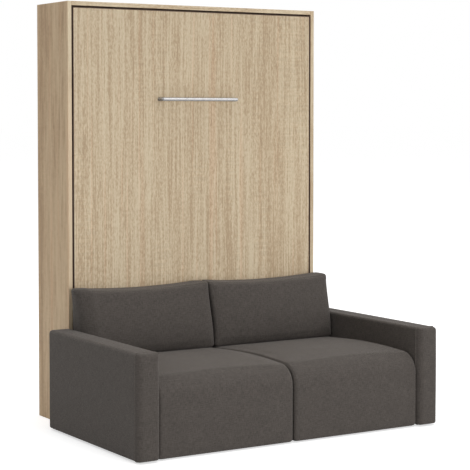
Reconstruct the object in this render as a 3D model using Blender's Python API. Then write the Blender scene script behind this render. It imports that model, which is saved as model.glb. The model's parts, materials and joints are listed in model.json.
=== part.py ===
"""Wall bed with sofa.

A shallow oak cabinet holds a bed that stands upright and swings down over a low sofa. A hoop leg swings
out at the foot end, and two gas struts carry the weight. Lengths are in metres. Z points up, +Y points to
the wall and X = 0 is the middle plane. The origin lies on the floor, in the middle of the whole footprint.
Heights are measured from the floor. Depths are measured from the cabinet's front plane, positive towards
the wall and negative into the room.
"""

import math

import bmesh
import bpy
from mathutils import Matrix, Vector

# Gaps between pieces, the distance under which two places count as one, and how far a cutter overshoots
FIT = 0.0003
RUNNING_GAP = 0.0025
NEARLY = 0.00003
CUTTER_EXTRA = 0.004

# Mattress
MATTRESS_WIDTH = 1.39
MATTRESS_LENGTH = 1.90
MATTRESS_THICK = 0.15
MATTRESS_EDGE_RADIUS = 0.030
MATTRESS_CROWN = 0.006

# Bed panel and the slatted frame behind it
PANEL_THICK = 0.022
PANEL_SIDE_GAP = 0.0027
PANEL_FOOT_HEIGHT = 0.210
MATTRESS_END_GAP = 0.015
MATTRESS_SIDE_GAP = 0.005
RAIL_WIDTH = 0.030
RAIL_DEPTH = 0.040
SLAT_THICK = 0.010
SLAT_WIDTH = 0.068
SLAT_SIDE_INSET = 0.004
SLAT_COUNT = 10

# Cabinet
BOARD_THICK = 0.022
BOARD_EDGE = 0.001
TOP_REVEAL = 0.008
WALL_CLEARANCE = 0.011
PLINTH_CLEARANCE = 0.007
BOTTOM_PANEL_HEIGHT = 0.060
BACK_RAIL_THICK = 0.018
BACK_RAIL_HEIGHT = 0.085

# Main pivot of the bed
PIVOT_DEPTH = 0.040
PIVOT_RISE = 0.270
PIN_RADIUS = 0.010
PIVOT_PLATE_THICK = 0.004
PIVOT_PLATE_MARGIN = 0.024
PIVOT_PLATE_HEIGHT = 0.160
BED_PLATE_THICK = 0.006
PLATE_CORNER_RADIUS = 0.010

# Gas struts
STRUT_STUD_DEPTH = 0.160
STRUT_STUD_HEIGHT = 0.820
STRUT_BOSS_DEPTH = 0.070
STRUT_BOSS_HEIGHT = 0.330
STRUT_RADIUS = 0.010
STRUT_ROD_RADIUS = 0.005
STRUT_NECK_RADIUS = 0.006
STRUT_NECK_LENGTH = 0.026
STRUT_FLOOR = 0.042
STRUT_END_SPACE = 0.003
STRUT_ENGAGED = 0.030
STRUT_MOUTH_CHAMFER = 0.002
STRUT_SHOULDER = 0.004
STRUT_EYE_RADIUS = 0.012
STRUT_SOCKET_RADIUS = 0.010
STRUT_EYE_WIDTH = 0.016
STRUT_STUD_RADIUS = 0.005
STRUT_BOSS_RADIUS = 0.008
STRUT_BOSS_GAP = 0.001
STRUT_PLATE_WIDTH = 0.048
STRUT_PLATE_HEIGHT = 0.056
STRUT_PLATE_BACK_MARGIN = 0.016

# Hoop leg
LEG_TUBE_RADIUS = 0.0125
LEG_GAP = 0.0012
LEG_PIVOT_DEPTH = 0.110
LEG_PIVOT_FROM_TOP = 0.055
LEG_CRANK = 0.073
LEG_FLOOR_GAP = 0.001
LEG_ELBOW_BEND = 0.028
LEG_CORNER_BEND = 0.045
LEG_STORED_TURN = math.radians(246)
LEG_EYE_RADIUS = 0.019
LEG_EYE_WIDTH = 0.022
LEG_PIN_RADIUS = 0.006
LEG_PLATE_THICK = 0.004
LEG_PLATE_HEIGHT = 0.070
LEG_PLATE_MARGIN = 0.020

# Handle on the bed panel
HANDLE_LENGTH = 0.475
HANDLE_HEIGHT = 1.675
HANDLE_RADIUS = 0.010
HANDLE_REACH = 0.045
HANDLE_BEND = 0.0135

# Wall brackets
WALL_BRACKET_FROM_SIDE = 0.235
WALL_BRACKET_WIDTH = 0.070
WALL_BRACKET_LEG = 0.045
WALL_BRACKET_THICK = 0.003
WALL_BRACKET_BEND = 0.006
WALL_BRACKET_HOLE = 0.0045
WALL_BRACKET_HOLE_DROP = 0.030

# Sofa
SOFA_DEPTH = 0.930
ARM_THICK = 0.114
ARM_HEIGHT = 0.507
ARM_EDGE_RADIUS = 0.024
ARM_FULLNESS = 0.004
ARM_LAP = 0.0005
FOOT_HEIGHT = 0.010
FOOT_RADIUS = 0.022
FOOT_CHAMFER = 0.002
FOOT_SETBACK = 0.060
SEAT_HEIGHT = 0.374
SEAT_FRONT_INSET = 0.002
SEAT_FRONT_RADIUS = 0.095
SEAT_EDGE_RADIUS = 0.016
SEAT_GAP = 0.006
SEAT_CROWN = 0.030
SEAT_FRONT_FULLNESS = 0.008
SEAT_DRAW = 0.003
SEAT_LOWEST = 0.010
SEAT_RECESS_MARGIN = 0.045
SEAT_BASE_THICK = 0.018
BACK_BOARD_THICK = 0.0195
BACK_BOARD_HEIGHT = 0.360
SKID_WIDTH = 0.040
SKID_INSET = 0.060

# Back cushions
CUSHION_TOP = 0.720
CUSHION_PANEL_GAP = 0.002
CUSHION_TOP_THICK = 0.112
CUSHION_BOTTOM_THICK = 0.204
CUSHION_ARM_GAP = 0.004
CUSHION_SEAM_GAP = 0.003
CUSHION_FLARE = 0.010
CUSHION_EDGE_RADIUS = 0.026
CUSHION_CROWN = 0.014
CUSHION_SAG = 0.016
CUSHION_DRAW = 0.004
CUSHION_LANDING_GAP = 0.047
CUSHION_LANDING_HEIGHT = 0.003

# How finely round and soft pieces are divided, and which edges are shaded smooth or rounded
ROUND_SIDES = 28
HOLE_SIDES = 14
ARC_STEPS = 5
SMOOTH_ANGLE = math.radians(35)
SHARP_ANGLE = math.radians(60)
SOFT_CUT_SHARES = (-0.72, -0.4, 0.0, 0.4, 0.72)
UNDERSIDE_SHARE = -0.85

# Cabinet and bed across the width, from the middle outwards
frame_half = MATTRESS_WIDTH / 2 + MATTRESS_SIDE_GAP
bed_plate_inner = frame_half + FIT
bed_plate_outer = bed_plate_inner + BED_PLATE_THICK
strut_x = bed_plate_outer + RUNNING_GAP + STRUT_RADIUS
cabinet_plate_inner = strut_x + STRUT_RADIUS + RUNNING_GAP
cabinet_plate_outer = cabinet_plate_inner + PIVOT_PLATE_THICK
side_inner = cabinet_plate_outer + FIT
cabinet_half = side_inner + BOARD_THICK
panel_half = cabinet_plate_inner - PANEL_SIDE_GAP
leg_plate_outer = bed_plate_inner + LEG_PLATE_THICK
leg_x = leg_plate_outer + LEG_GAP + LEG_TUBE_RADIUS

# Bed through its depth, with the bed upright
rail_front = PANEL_THICK + FIT
rail_back = rail_front + RAIL_DEPTH
slat_front = rail_back + FIT
slat_back = slat_front + SLAT_THICK
mattress_front = slat_back + FIT
mattress_back = mattress_front + MATTRESS_THICK

# Heights
pivot_height = PANEL_FOOT_HEIGHT + PIVOT_RISE
mattress_low = PANEL_FOOT_HEIGHT + MATTRESS_END_GAP
mattress_high = mattress_low + MATTRESS_LENGTH
panel_top = mattress_high + MATTRESS_END_GAP
top_underside = panel_top + TOP_REVEAL
cabinet_height = top_underside + BOARD_THICK

# The lower corners of the bed pass the wall and the fixed front panel as it swings
mattress_swing = math.hypot(mattress_back - PIVOT_DEPTH, pivot_height - mattress_low)
panel_swing = math.hypot(PIVOT_DEPTH, PIVOT_RISE)
cabinet_depth = PIVOT_DEPTH + mattress_swing + WALL_CLEARANCE
lower_front_height = pivot_height - panel_swing - PLINTH_CLEARANCE
back_rail_front = cabinet_depth - BACK_RAIL_THICK

# The origin lies midway between the front of the sofa and the back of the cabinet
front_y = (SOFA_DEPTH - cabinet_depth) / 2

# Sofa across the width
arm_inner = cabinet_half - ARM_LAP
arm_outer = arm_inner + ARM_THICK
seat_inner = SEAT_GAP / 2
seat_outer = arm_inner - SEAT_GAP / 2
seat_base_high = SEAT_LOWEST + SEAT_BASE_THICK

# Length and stroke of a gas strut, from the places of its ends with the bed up and with the bed down
boss_from_pivot = Vector((STRUT_BOSS_DEPTH - PIVOT_DEPTH, STRUT_BOSS_HEIGHT - pivot_height))
stud_place = Vector((STRUT_STUD_DEPTH, STRUT_STUD_HEIGHT))
boss_closed = Vector((STRUT_BOSS_DEPTH, STRUT_BOSS_HEIGHT))
boss_open = Vector((PIVOT_DEPTH - boss_from_pivot.y, pivot_height + boss_from_pivot.x))
strut_long = (boss_closed - stud_place).length
strut_stroke = strut_long - (boss_open - stud_place).length
cylinder_length = STRUT_FLOOR + STRUT_END_SPACE + strut_stroke + STRUT_ENGAGED
strut_tilt = math.atan2(-(boss_closed.x - stud_place.x), boss_closed.y - stud_place.y)

# Places of the leg's pivot and of the axis about which the loose cushions are turned away
leg_pivot_height = panel_top - LEG_PIVOT_FROM_TOP
leg_long = pivot_height + LEG_PIVOT_DEPTH - PIVOT_DEPTH - LEG_TUBE_RADIUS - LEG_FLOOR_GAP
cushion_low_front = CUSHION_PANEL_GAP + CUSHION_BOTTOM_THICK
cushion_turn_depth = -(SOFA_DEPTH + CUSHION_LANDING_GAP + cushion_low_front) / 2
cushion_turn_height = (CUSHION_TOP + CUSHION_LANDING_HEIGHT) / 2

# Colour, roughness and metallic value of each finish
FINISHES = {
    "oak": ((0.56, 0.44, 0.29), 0.55, 0.0),
    "dark board": ((0.10, 0.09, 0.08), 0.70, 0.0),
    "birch": ((0.72, 0.58, 0.40), 0.50, 0.0),
    "brushed metal": ((0.78, 0.77, 0.75), 0.28, 1.0),
    "black steel": ((0.03, 0.03, 0.03), 0.42, 0.6),
    "zinc steel": ((0.60, 0.61, 0.62), 0.38, 1.0),
    "sofa fabric": ((0.085, 0.076, 0.068), 0.92, 0.0),
    "mattress ticking": ((0.83, 0.82, 0.79), 0.90, 0.0),
    "black plastic": ((0.02, 0.02, 0.02), 0.50, 0.0),
}

SIDES = (("left", -1), ("right", 1))


def remove_everything():
    """Empty the file of its objects."""
    for thing in list(bpy.data.objects):
        bpy.data.objects.remove(thing, do_unlink=True)


def place(x, depth, height):
    """World position of a point given by its x, its depth behind the front plane and its height."""
    return Vector((x, front_y + depth, height))


def finish_material(node, finish):
    """The node's own material, in one of the named finishes."""
    colour, roughness, metallic = FINISHES[finish]
    material = bpy.data.materials.new(node + "_finish")
    material.use_nodes = True
    shader = material.node_tree.nodes["Principled BSDF"]
    shader.inputs["Base Color"].default_value = (*colour, 1)
    shader.inputs["Roughness"].default_value = roughness
    shader.inputs["Metallic"].default_value = metallic
    return material


def joint_empty(name, position, parent=None):
    """An empty on a joint's axis, which carries the pieces that turn about it."""
    empty = bpy.data.objects.new(name, None)
    empty.location = position
    if parent:
        empty.parent = parent
        empty.location = position - parent.matrix_world.translation
    bpy.context.scene.collection.objects.link(empty)
    bpy.context.view_layer.update()
    return empty


def add_node(name, mesh_builder, finish, origin, parent=None, tilt=0, smooth=False, local=False):
    """Turn a bmesh into a named object with its origin at the given place.

    The bmesh is in world coordinates, or in the object's own ones where local is set.
    """
    if not local:
        bmesh.ops.translate(mesh_builder, vec=-origin, verts=mesh_builder.verts)
    mesh = bpy.data.meshes.new(name)
    mesh_builder.to_mesh(mesh)
    mesh_builder.free()
    if smooth:
        mesh.shade_smooth()
        mesh.set_sharp_from_angle(angle=SMOOTH_ANGLE)
    thing = bpy.data.objects.new(name, mesh)
    thing.location = origin
    if parent:
        thing.parent = parent
        thing.location = origin - parent.matrix_world.translation
    thing.rotation_euler.x = tilt
    if finish:
        mesh.materials.append(finish_material(name, finish))
    bpy.context.scene.collection.objects.link(thing)
    return thing


def combine(target, helper_mesh, operation, label):
    """Unite a helper solid with the target, or cut it away, in the target's own coordinates."""
    helper = add_node(target.name + "_" + label, helper_mesh, None, Vector((0, 0, 0)), local=True)
    helper.parent = target
    helper.hide_render = True
    helper.display_type = "WIRE"
    modifier = target.modifiers.new(label, "BOOLEAN")
    modifier.operation = operation
    modifier.solver = "EXACT"
    modifier.object = helper


def block(low, high):
    """A plain box between two corners."""
    solid = bmesh.new()
    bmesh.ops.create_cube(solid, size=1)
    bmesh.ops.scale(solid, vec=high - low, verts=solid.verts)
    bmesh.ops.translate(solid, vec=(low + high) / 2, verts=solid.verts)
    return solid


def round_edges(solid, edges, radius, steps):
    """Round the given edges."""
    bmesh.ops.bevel(
        solid, geom=edges, offset=radius, offset_type="OFFSET", segments=steps, profile=0.5,
        affect="EDGES", clamp_overlap=True, material=-1,
    )


def board(name, low, high, finish, parent=None):
    """A flat board with its edges just broken, between two corners."""
    solid = block(low, high)
    round_edges(solid, solid.edges[:], BOARD_EDGE, 1)
    return add_node(name, solid, finish, (low + high) / 2, parent)


def cylinder_along_x(centre, radius, x_start, x_end):
    """A round bar that runs along X between two places."""
    solid = bmesh.new()
    bmesh.ops.create_cone(
        solid, cap_ends=True, segments=ROUND_SIDES, radius1=radius, radius2=radius,
        depth=abs(x_end - x_start),
    )
    bmesh.ops.rotate(solid, matrix=Matrix.Rotation(math.pi / 2, 3, "Y"), verts=solid.verts)
    middle = Vector(((x_start + x_end) / 2, centre.y, centre.z))
    bmesh.ops.translate(solid, vec=middle, verts=solid.verts)
    return solid


def extruded_outline(outline, x_start, x_end):
    """A plate whose outline is a list of (y, z) points, between two places along X."""
    solid = bmesh.new()
    corners = [solid.verts.new((x_start, y, z)) for y, z in outline]
    face = solid.faces.new(corners)
    grown = bmesh.ops.extrude_face_region(solid, geom=[face])
    moved = [item for item in grown["geom"] if isinstance(item, bmesh.types.BMVert)]
    bmesh.ops.translate(solid, vec=(x_end - x_start, 0, 0), verts=moved)
    bmesh.ops.recalc_face_normals(solid, faces=solid.faces)
    return solid


def arc(centre_y, centre_z, radius, start, end):
    """Points along an arc in the YZ plane."""
    points = []
    for step in range(ARC_STEPS + 1):
        angle = start + (end - start) * step / ARC_STEPS
        points.append((centre_y + radius * math.cos(angle), centre_z + radius * math.sin(angle)))
    return points


def rounded_rectangle(low_y, high_y, low_z, high_z, radius):
    """Outline of a rectangle with round corners, as (y, z) points."""
    corners = (
        (high_y - radius, low_z + radius, -math.pi / 2),
        (high_y - radius, high_z - radius, 0),
        (low_y + radius, high_z - radius, math.pi / 2),
        (low_y + radius, low_z + radius, math.pi),
    )
    outline = []
    for centre_y, centre_z, start in corners:
        outline += arc(centre_y, centre_z, radius, start, start + math.pi / 2)
    return outline


def turned(profile):
    """A solid of revolution about Z, from (radius, height) points that start and end on the axis."""
    solid = bmesh.new()
    points = [solid.verts.new((radius, 0, height)) for radius, height in profile]
    edges = [solid.edges.new(pair) for pair in zip(points, points[1:])]
    bmesh.ops.spin(
        solid, geom=points + edges, cent=(0, 0, 0), axis=(0, 0, 1), dvec=(0, 0, 0),
        angle=2 * math.pi, steps=ROUND_SIDES, use_merge=True, use_duplicate=False,
    )
    bmesh.ops.remove_doubles(solid, verts=solid.verts, dist=NEARLY)
    bmesh.ops.recalc_face_normals(solid, faces=solid.faces)
    return solid


def bent_path(corners, radii):
    """Points along straight runs that are joined by arcs of the given radii at the inner corners."""
    path = [corners[0]]
    for before, corner, after, radius in zip(corners, corners[1:], corners[2:], radii):
        towards_start = (before - corner).normalized()
        towards_end = (after - corner).normalized()
        half_angle = towards_start.angle(towards_end) / 2
        tangent_length = radius / math.tan(half_angle)
        inward = (towards_start + towards_end).normalized()
        centre = corner + inward * radius / math.sin(half_angle)
        first = corner + towards_start * tangent_length - centre
        turn_axis = first.cross(corner + towards_end * tangent_length - centre)
        sweep = math.pi - 2 * half_angle
        for step in range(ARC_STEPS + 1):
            turn = Matrix.Rotation(sweep * step / ARC_STEPS, 3, turn_axis)
            path.append(centre + turn @ first)
    path.append(corners[-1])
    return path


def tube(path, radius):
    """A round bar swept along a path, with both ends closed."""
    curve = bpy.data.curves.new("tube_path", "CURVE")
    curve.dimensions = "3D"
    curve.bevel_depth = radius
    curve.bevel_resolution = 3
    curve.use_fill_caps = True
    spline = curve.splines.new("POLY")
    spline.points.add(len(path) - 1)
    for point, position in zip(spline.points, path):
        point.co = (*position, 1)
    carrier = bpy.data.objects.new("tube_path", curve)
    swept = bpy.data.meshes.new_from_object(carrier)
    solid = bmesh.new()
    solid.from_mesh(swept)
    bpy.data.objects.remove(carrier)
    bpy.data.curves.remove(curve)
    bpy.data.meshes.remove(swept)
    bmesh.ops.remove_doubles(solid, verts=solid.verts, dist=NEARLY)
    bmesh.ops.recalc_face_normals(solid, faces=solid.faces)
    return solid


def slice_across(solid, axis, places):
    """Cut the faces of a soft solid at planes square to one axis, so that they can be shaped."""
    normal = Vector((0, 0, 0))
    normal[axis] = 1
    for where in places:
        everything = solid.verts[:] + solid.edges[:] + solid.faces[:]
        bmesh.ops.bisect_plane(solid, geom=everything, plane_co=normal * where, plane_no=normal)


def slice_box(solid, low, high, shares=SOFT_CUT_SHARES):
    """Cut a soft solid at the given shares of its half size along all three axes."""
    for axis in range(3):
        middle = (low[axis] + high[axis]) / 2
        half = (high[axis] - low[axis]) / 2
        slice_across(solid, axis, [middle + half * share for share in shares])


def push_out(solid, low, high, amount):
    """Move each point by what the amount function gives for its share of the box and its normal."""
    solid.normal_update()
    middle = (low + high) / 2
    half = (high - low) / 2
    moves = []
    for vertex in solid.verts:
        offset = vertex.co - middle
        share = Vector([offset[axis] / half[axis] for axis in range(3)])
        moves.append((vertex, amount(share, vertex.normal.copy())))
    for vertex, move in moves:
        vertex.co += move


def swell(share):
    """One in the middle of a side and zero at its ends."""
    return max(0.0, 1 - share * share)


def edges_where(solid, test):
    """The edges whose two ends both pass a test."""
    return [edge for edge in solid.edges if test(edge.verts[0].co) and test(edge.verts[1].co)]


# Cabinet


def build_cabinet_boards():
    """Side panels, top and bottom panels, the fixed lower front and the two back rails."""
    for side, sign in SIDES:
        inner = sign * side_inner
        outer = sign * cabinet_half
        low = place(min(inner, outer), 0, 0)
        high = place(max(inner, outer), cabinet_depth, cabinet_height)
        board("side_panel_" + side, low, high, "oak")
    between = side_inner - FIT
    top_low = place(-between, 0, top_underside)
    board("top_panel", top_low, place(between, cabinet_depth, cabinet_height), "oak")
    lower_front_back = BOARD_THICK
    front_high = place(between, lower_front_back, lower_front_height)
    board("lower_front_panel", place(-between, 0, 0), front_high, "oak")
    bottom_low = place(-between, lower_front_back + FIT, BOTTOM_PANEL_HEIGHT)
    bottom_high = place(between, back_rail_front - FIT, BOTTOM_PANEL_HEIGHT + BOARD_THICK)
    board("bottom_panel", bottom_low, bottom_high, "oak")
    rail_top_high = top_underside - FIT
    board(
        "back_rail_top", place(-between, back_rail_front, rail_top_high - BACK_RAIL_HEIGHT),
        place(between, cabinet_depth, rail_top_high), "oak",
    )
    board(
        "back_rail_bottom", place(-between, back_rail_front, BOTTOM_PANEL_HEIGHT - BOARD_THICK),
        place(between, cabinet_depth, BOTTOM_PANEL_HEIGHT - BOARD_THICK + BACK_RAIL_HEIGHT), "oak",
    )


def build_wall_brackets():
    """Steel angles under the top panel, through which the cabinet is screwed to the wall."""
    back = back_rail_front - FIT
    high = top_underside - FIT
    far = back - WALL_BRACKET_LEG
    low = high - WALL_BRACKET_LEG
    bend_y = back - WALL_BRACKET_BEND
    bend_z = high - WALL_BRACKET_BEND
    inner_bend = WALL_BRACKET_BEND - WALL_BRACKET_THICK
    outline = [(back, low)]
    outline += arc(bend_y, bend_z, WALL_BRACKET_BEND, 0, math.pi / 2)
    outline += [(far, high), (far, high - WALL_BRACKET_THICK)]
    outline += arc(bend_y, bend_z, inner_bend, math.pi / 2, 0)
    outline += [(back - WALL_BRACKET_THICK, low)]
    outline = [(front_y + depth, height) for depth, height in outline]
    for side, sign in SIDES:
        middle = sign * (side_inner - WALL_BRACKET_FROM_SIDE)
        start = middle - WALL_BRACKET_WIDTH / 2
        end = middle + WALL_BRACKET_WIDTH / 2
        origin = place(middle, back, high)
        angle = extruded_outline(outline, start, end)
        bracket = add_node("wall_bracket_" + side, angle, "zinc steel", origin)
        hole = bmesh.new()
        bmesh.ops.create_cone(
            hole, cap_ends=True, segments=HOLE_SIDES, radius1=WALL_BRACKET_HOLE,
            radius2=WALL_BRACKET_HOLE, depth=(WALL_BRACKET_THICK + CUTTER_EXTRA) * 2,
        )
        bmesh.ops.rotate(hole, matrix=Matrix.Rotation(math.pi / 2, 3, "X"), verts=hole.verts)
        bmesh.ops.translate(hole, vec=(0, 0, -WALL_BRACKET_HOLE_DROP), verts=hole.verts)
        combine(bracket, hole, "DIFFERENCE", "screw_hole")


def build_cabinet_plates():
    """Pivot plates with their pins, and the plates that carry the upper ends of the gas struts."""
    for side, sign in SIDES:
        origin = place(sign * cabinet_plate_inner, PIVOT_DEPTH, pivot_height)
        low_y = -min(PIVOT_PLATE_MARGIN, PIVOT_DEPTH - FIT)
        outline = rounded_rectangle(
            low_y, PIVOT_PLATE_MARGIN, -PIVOT_PLATE_HEIGHT / 2, PIVOT_PLATE_HEIGHT / 2, PLATE_CORNER_RADIUS,
        )
        solid = extruded_outline(outline, 0, sign * PIVOT_PLATE_THICK)
        plate = add_node("pivot_plate_" + side, solid, "black steel", origin, local=True)
        pin_end = cabinet_plate_inner - bed_plate_inner - FIT
        pin = cylinder_along_x(Vector((0, 0, 0)), PIN_RADIUS, sign * PIVOT_PLATE_THICK / 2, -sign * pin_end)
        combine(plate, pin, "UNION", "pin")

        origin = place(sign * cabinet_plate_inner, STRUT_STUD_DEPTH, STRUT_STUD_HEIGHT)
        outline = rounded_rectangle(
            -STRUT_PLATE_WIDTH / 2, STRUT_PLATE_WIDTH / 2, -STRUT_PLATE_HEIGHT / 2, STRUT_PLATE_HEIGHT / 2,
            PLATE_CORNER_RADIUS,
        )
        solid = extruded_outline(outline, 0, sign * PIVOT_PLATE_THICK)
        plate = add_node("strut_bracket_" + side, solid, "black steel", origin, local=True)
        stud_end = cabinet_plate_inner - strut_x + STRUT_EYE_WIDTH / 2 + STRUT_BOSS_GAP
        stud = cylinder_along_x(
            Vector((0, 0, 0)), STRUT_STUD_RADIUS, sign * PIVOT_PLATE_THICK / 2, -sign * stud_end,
        )
        combine(plate, stud, "UNION", "stud")


# Bed


def build_bed_panel(pivot):
    """The large front panel, which is the underside of the bed when it is down."""
    low = place(-panel_half, 0, PANEL_FOOT_HEIGHT)
    board("bed_panel", low, place(panel_half, PANEL_THICK, panel_top), "oak", pivot)


def build_bed_frame(pivot):
    """Two side rails, the head, foot and centre rails, and the slats across them."""
    inner = frame_half - RAIL_WIDTH
    for side, sign in SIDES:
        low_x = min(sign * inner, sign * frame_half)
        low = place(low_x, rail_front, mattress_low)
        board("frame_rail_" + side, low, place(low_x + RAIL_WIDTH, rail_back, mattress_high), "birch", pivot)
    across = inner - FIT
    ends = (("head", mattress_low), ("foot", mattress_high - RAIL_WIDTH))
    for end, height in ends:
        low = place(-across, rail_front, height)
        board("frame_rail_" + end, low, place(across, rail_back, height + RAIL_WIDTH), "birch", pivot)
    low = place(-RAIL_WIDTH / 2, rail_front, mattress_low + RAIL_WIDTH + FIT)
    high = place(RAIL_WIDTH / 2, rail_back, mattress_high - RAIL_WIDTH - FIT)
    board("frame_rail_centre", low, high, "birch", pivot)

    slat_half = frame_half - SLAT_SIDE_INSET
    pitch = MATTRESS_LENGTH / SLAT_COUNT
    for number in range(SLAT_COUNT):
        middle = mattress_low + pitch * (number + 1 / 2)
        low = place(-slat_half, slat_front, middle - SLAT_WIDTH / 2)
        high = place(slat_half, slat_back, middle + SLAT_WIDTH / 2)
        board("slat_%02d" % (number + 1), low, high, "birch", pivot)


def build_mattress(pivot):
    """A mattress with round edges and a slight crown on the side that is slept on."""
    low = place(-MATTRESS_WIDTH / 2, mattress_front, mattress_low)
    high = place(MATTRESS_WIDTH / 2, mattress_back - MATTRESS_CROWN, mattress_high)
    solid = block(low, high)
    round_edges(solid, solid.edges[:], MATTRESS_EDGE_RADIUS, 3)
    for axis in (0, 2):
        middle = (low[axis] + high[axis]) / 2
        half = (high[axis] - low[axis]) / 2
        slice_across(solid, axis, [middle + half * share for share in SOFT_CUT_SHARES])

    def crown(share, normal):
        lift = MATTRESS_CROWN * swell(share.x) * swell(share.z) * max(0.0, normal.y)
        return Vector((0, lift, 0))

    push_out(solid, low, high, crown)
    add_node("mattress", solid, "mattress ticking", (low + high) / 2, pivot, smooth=True)


def build_bed_plates(pivot):
    """Plates on the side rails: for the main pivot, the gas strut and the leg."""
    for side, sign in SIDES:
        origin = place(sign * bed_plate_inner, PIVOT_DEPTH, pivot_height)
        outline = rounded_rectangle(
            rail_front - PIVOT_DEPTH, rail_back - PIVOT_DEPTH, -PIVOT_PLATE_HEIGHT / 2,
            PIVOT_PLATE_HEIGHT / 2, PLATE_CORNER_RADIUS,
        )
        solid = extruded_outline(outline, 0, sign * BED_PLATE_THICK)
        plate = add_node("bed_pivot_plate_" + side, solid, "black steel", origin, pivot, local=True)
        bore = cylinder_along_x(
            Vector((0, 0, 0)), PIN_RADIUS + FIT, -sign * CUTTER_EXTRA, sign * (BED_PLATE_THICK + CUTTER_EXTRA),
        )
        combine(plate, bore, "DIFFERENCE", "bore")

        origin = place(sign * bed_plate_inner, STRUT_BOSS_DEPTH, STRUT_BOSS_HEIGHT)
        outline = rounded_rectangle(
            rail_front - STRUT_BOSS_DEPTH, STRUT_PLATE_BACK_MARGIN, -STRUT_PLATE_HEIGHT / 2,
            STRUT_PLATE_HEIGHT / 2, PLATE_CORNER_RADIUS,
        )
        solid = extruded_outline(outline, 0, sign * PIVOT_PLATE_THICK)
        plate = add_node("bed_strut_bracket_" + side, solid, "black steel", origin, pivot, local=True)
        boss_end = strut_x - STRUT_EYE_WIDTH / 2 - STRUT_BOSS_GAP - bed_plate_inner
        boss = cylinder_along_x(
            Vector((0, 0, 0)), STRUT_BOSS_RADIUS, sign * PIVOT_PLATE_THICK / 2, sign * boss_end,
        )
        combine(plate, boss, "UNION", "boss")

        origin = place(sign * bed_plate_inner, LEG_PIVOT_DEPTH, leg_pivot_height)
        outline = rounded_rectangle(
            rail_front - LEG_PIVOT_DEPTH, LEG_PLATE_MARGIN, -LEG_PLATE_HEIGHT / 2, LEG_PLATE_HEIGHT / 2,
            PLATE_CORNER_RADIUS,
        )
        solid = extruded_outline(outline, 0, sign * LEG_PLATE_THICK)
        plate = add_node("leg_bracket_" + side, solid, "black steel", origin, pivot, local=True)
        pin_end = leg_x + LEG_TUBE_RADIUS - bed_plate_inner
        pin = cylinder_along_x(
            Vector((0, 0, 0)), LEG_PIN_RADIUS, sign * LEG_PLATE_THICK / 2, sign * pin_end,
        )
        combine(plate, pin, "UNION", "pin")


def build_handle(pivot):
    """A bow handle: a round bar whose two ends turn back to the panel."""
    end = HANDLE_LENGTH / 2 - HANDLE_RADIUS
    corners = [
        place(-end, -FIT, HANDLE_HEIGHT),
        place(-end, -HANDLE_REACH, HANDLE_HEIGHT),
        place(end, -HANDLE_REACH, HANDLE_HEIGHT),
        place(end, -FIT, HANDLE_HEIGHT),
    ]
    solid = tube(bent_path(corners, [HANDLE_BEND] * 2), HANDLE_RADIUS)
    add_node("handle", solid, "brushed metal", place(0, 0, HANDLE_HEIGHT), pivot, smooth=True)


def build_leg(pivot):
    """The hoop leg, stored behind the mattress, with an eye at each end round a bracket's pin."""
    crank_angle = math.pi / 2 - LEG_STORED_TURN
    long_angle = math.pi - LEG_STORED_TURN
    crank = Vector((0, math.cos(crank_angle), math.sin(crank_angle))) * LEG_CRANK
    long_part = Vector((0, math.cos(long_angle), math.sin(long_angle))) * leg_long
    across = Vector((leg_x, 0, 0))
    corners = [-across, crank - across, crank + long_part - across]
    corners += [crank + long_part + across, crank + across, across]
    bends = [LEG_ELBOW_BEND, LEG_CORNER_BEND, LEG_CORNER_BEND, LEG_ELBOW_BEND]
    solid = tube(bent_path(corners, bends), LEG_TUBE_RADIUS)
    origin = place(0, LEG_PIVOT_DEPTH, leg_pivot_height)
    leg = add_node("leg_hoop", solid, "black steel", origin, pivot, smooth=True, local=True)
    for side, sign in SIDES:
        near = sign * (leg_x - LEG_EYE_WIDTH / 2)
        far = sign * (leg_x + LEG_EYE_WIDTH / 2)
        eye = cylinder_along_x(Vector((0, 0, 0)), LEG_EYE_RADIUS, near, far)
        combine(leg, eye, "UNION", "eye_" + side)
    for side, sign in SIDES:
        near = sign * (leg_x - LEG_TUBE_RADIUS - CUTTER_EXTRA)
        far = sign * (leg_x + LEG_TUBE_RADIUS + CUTTER_EXTRA)
        bore = cylinder_along_x(Vector((0, 0, 0)), LEG_PIN_RADIUS + FIT, near, far)
        combine(leg, bore, "DIFFERENCE", "bore_" + side)


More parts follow.
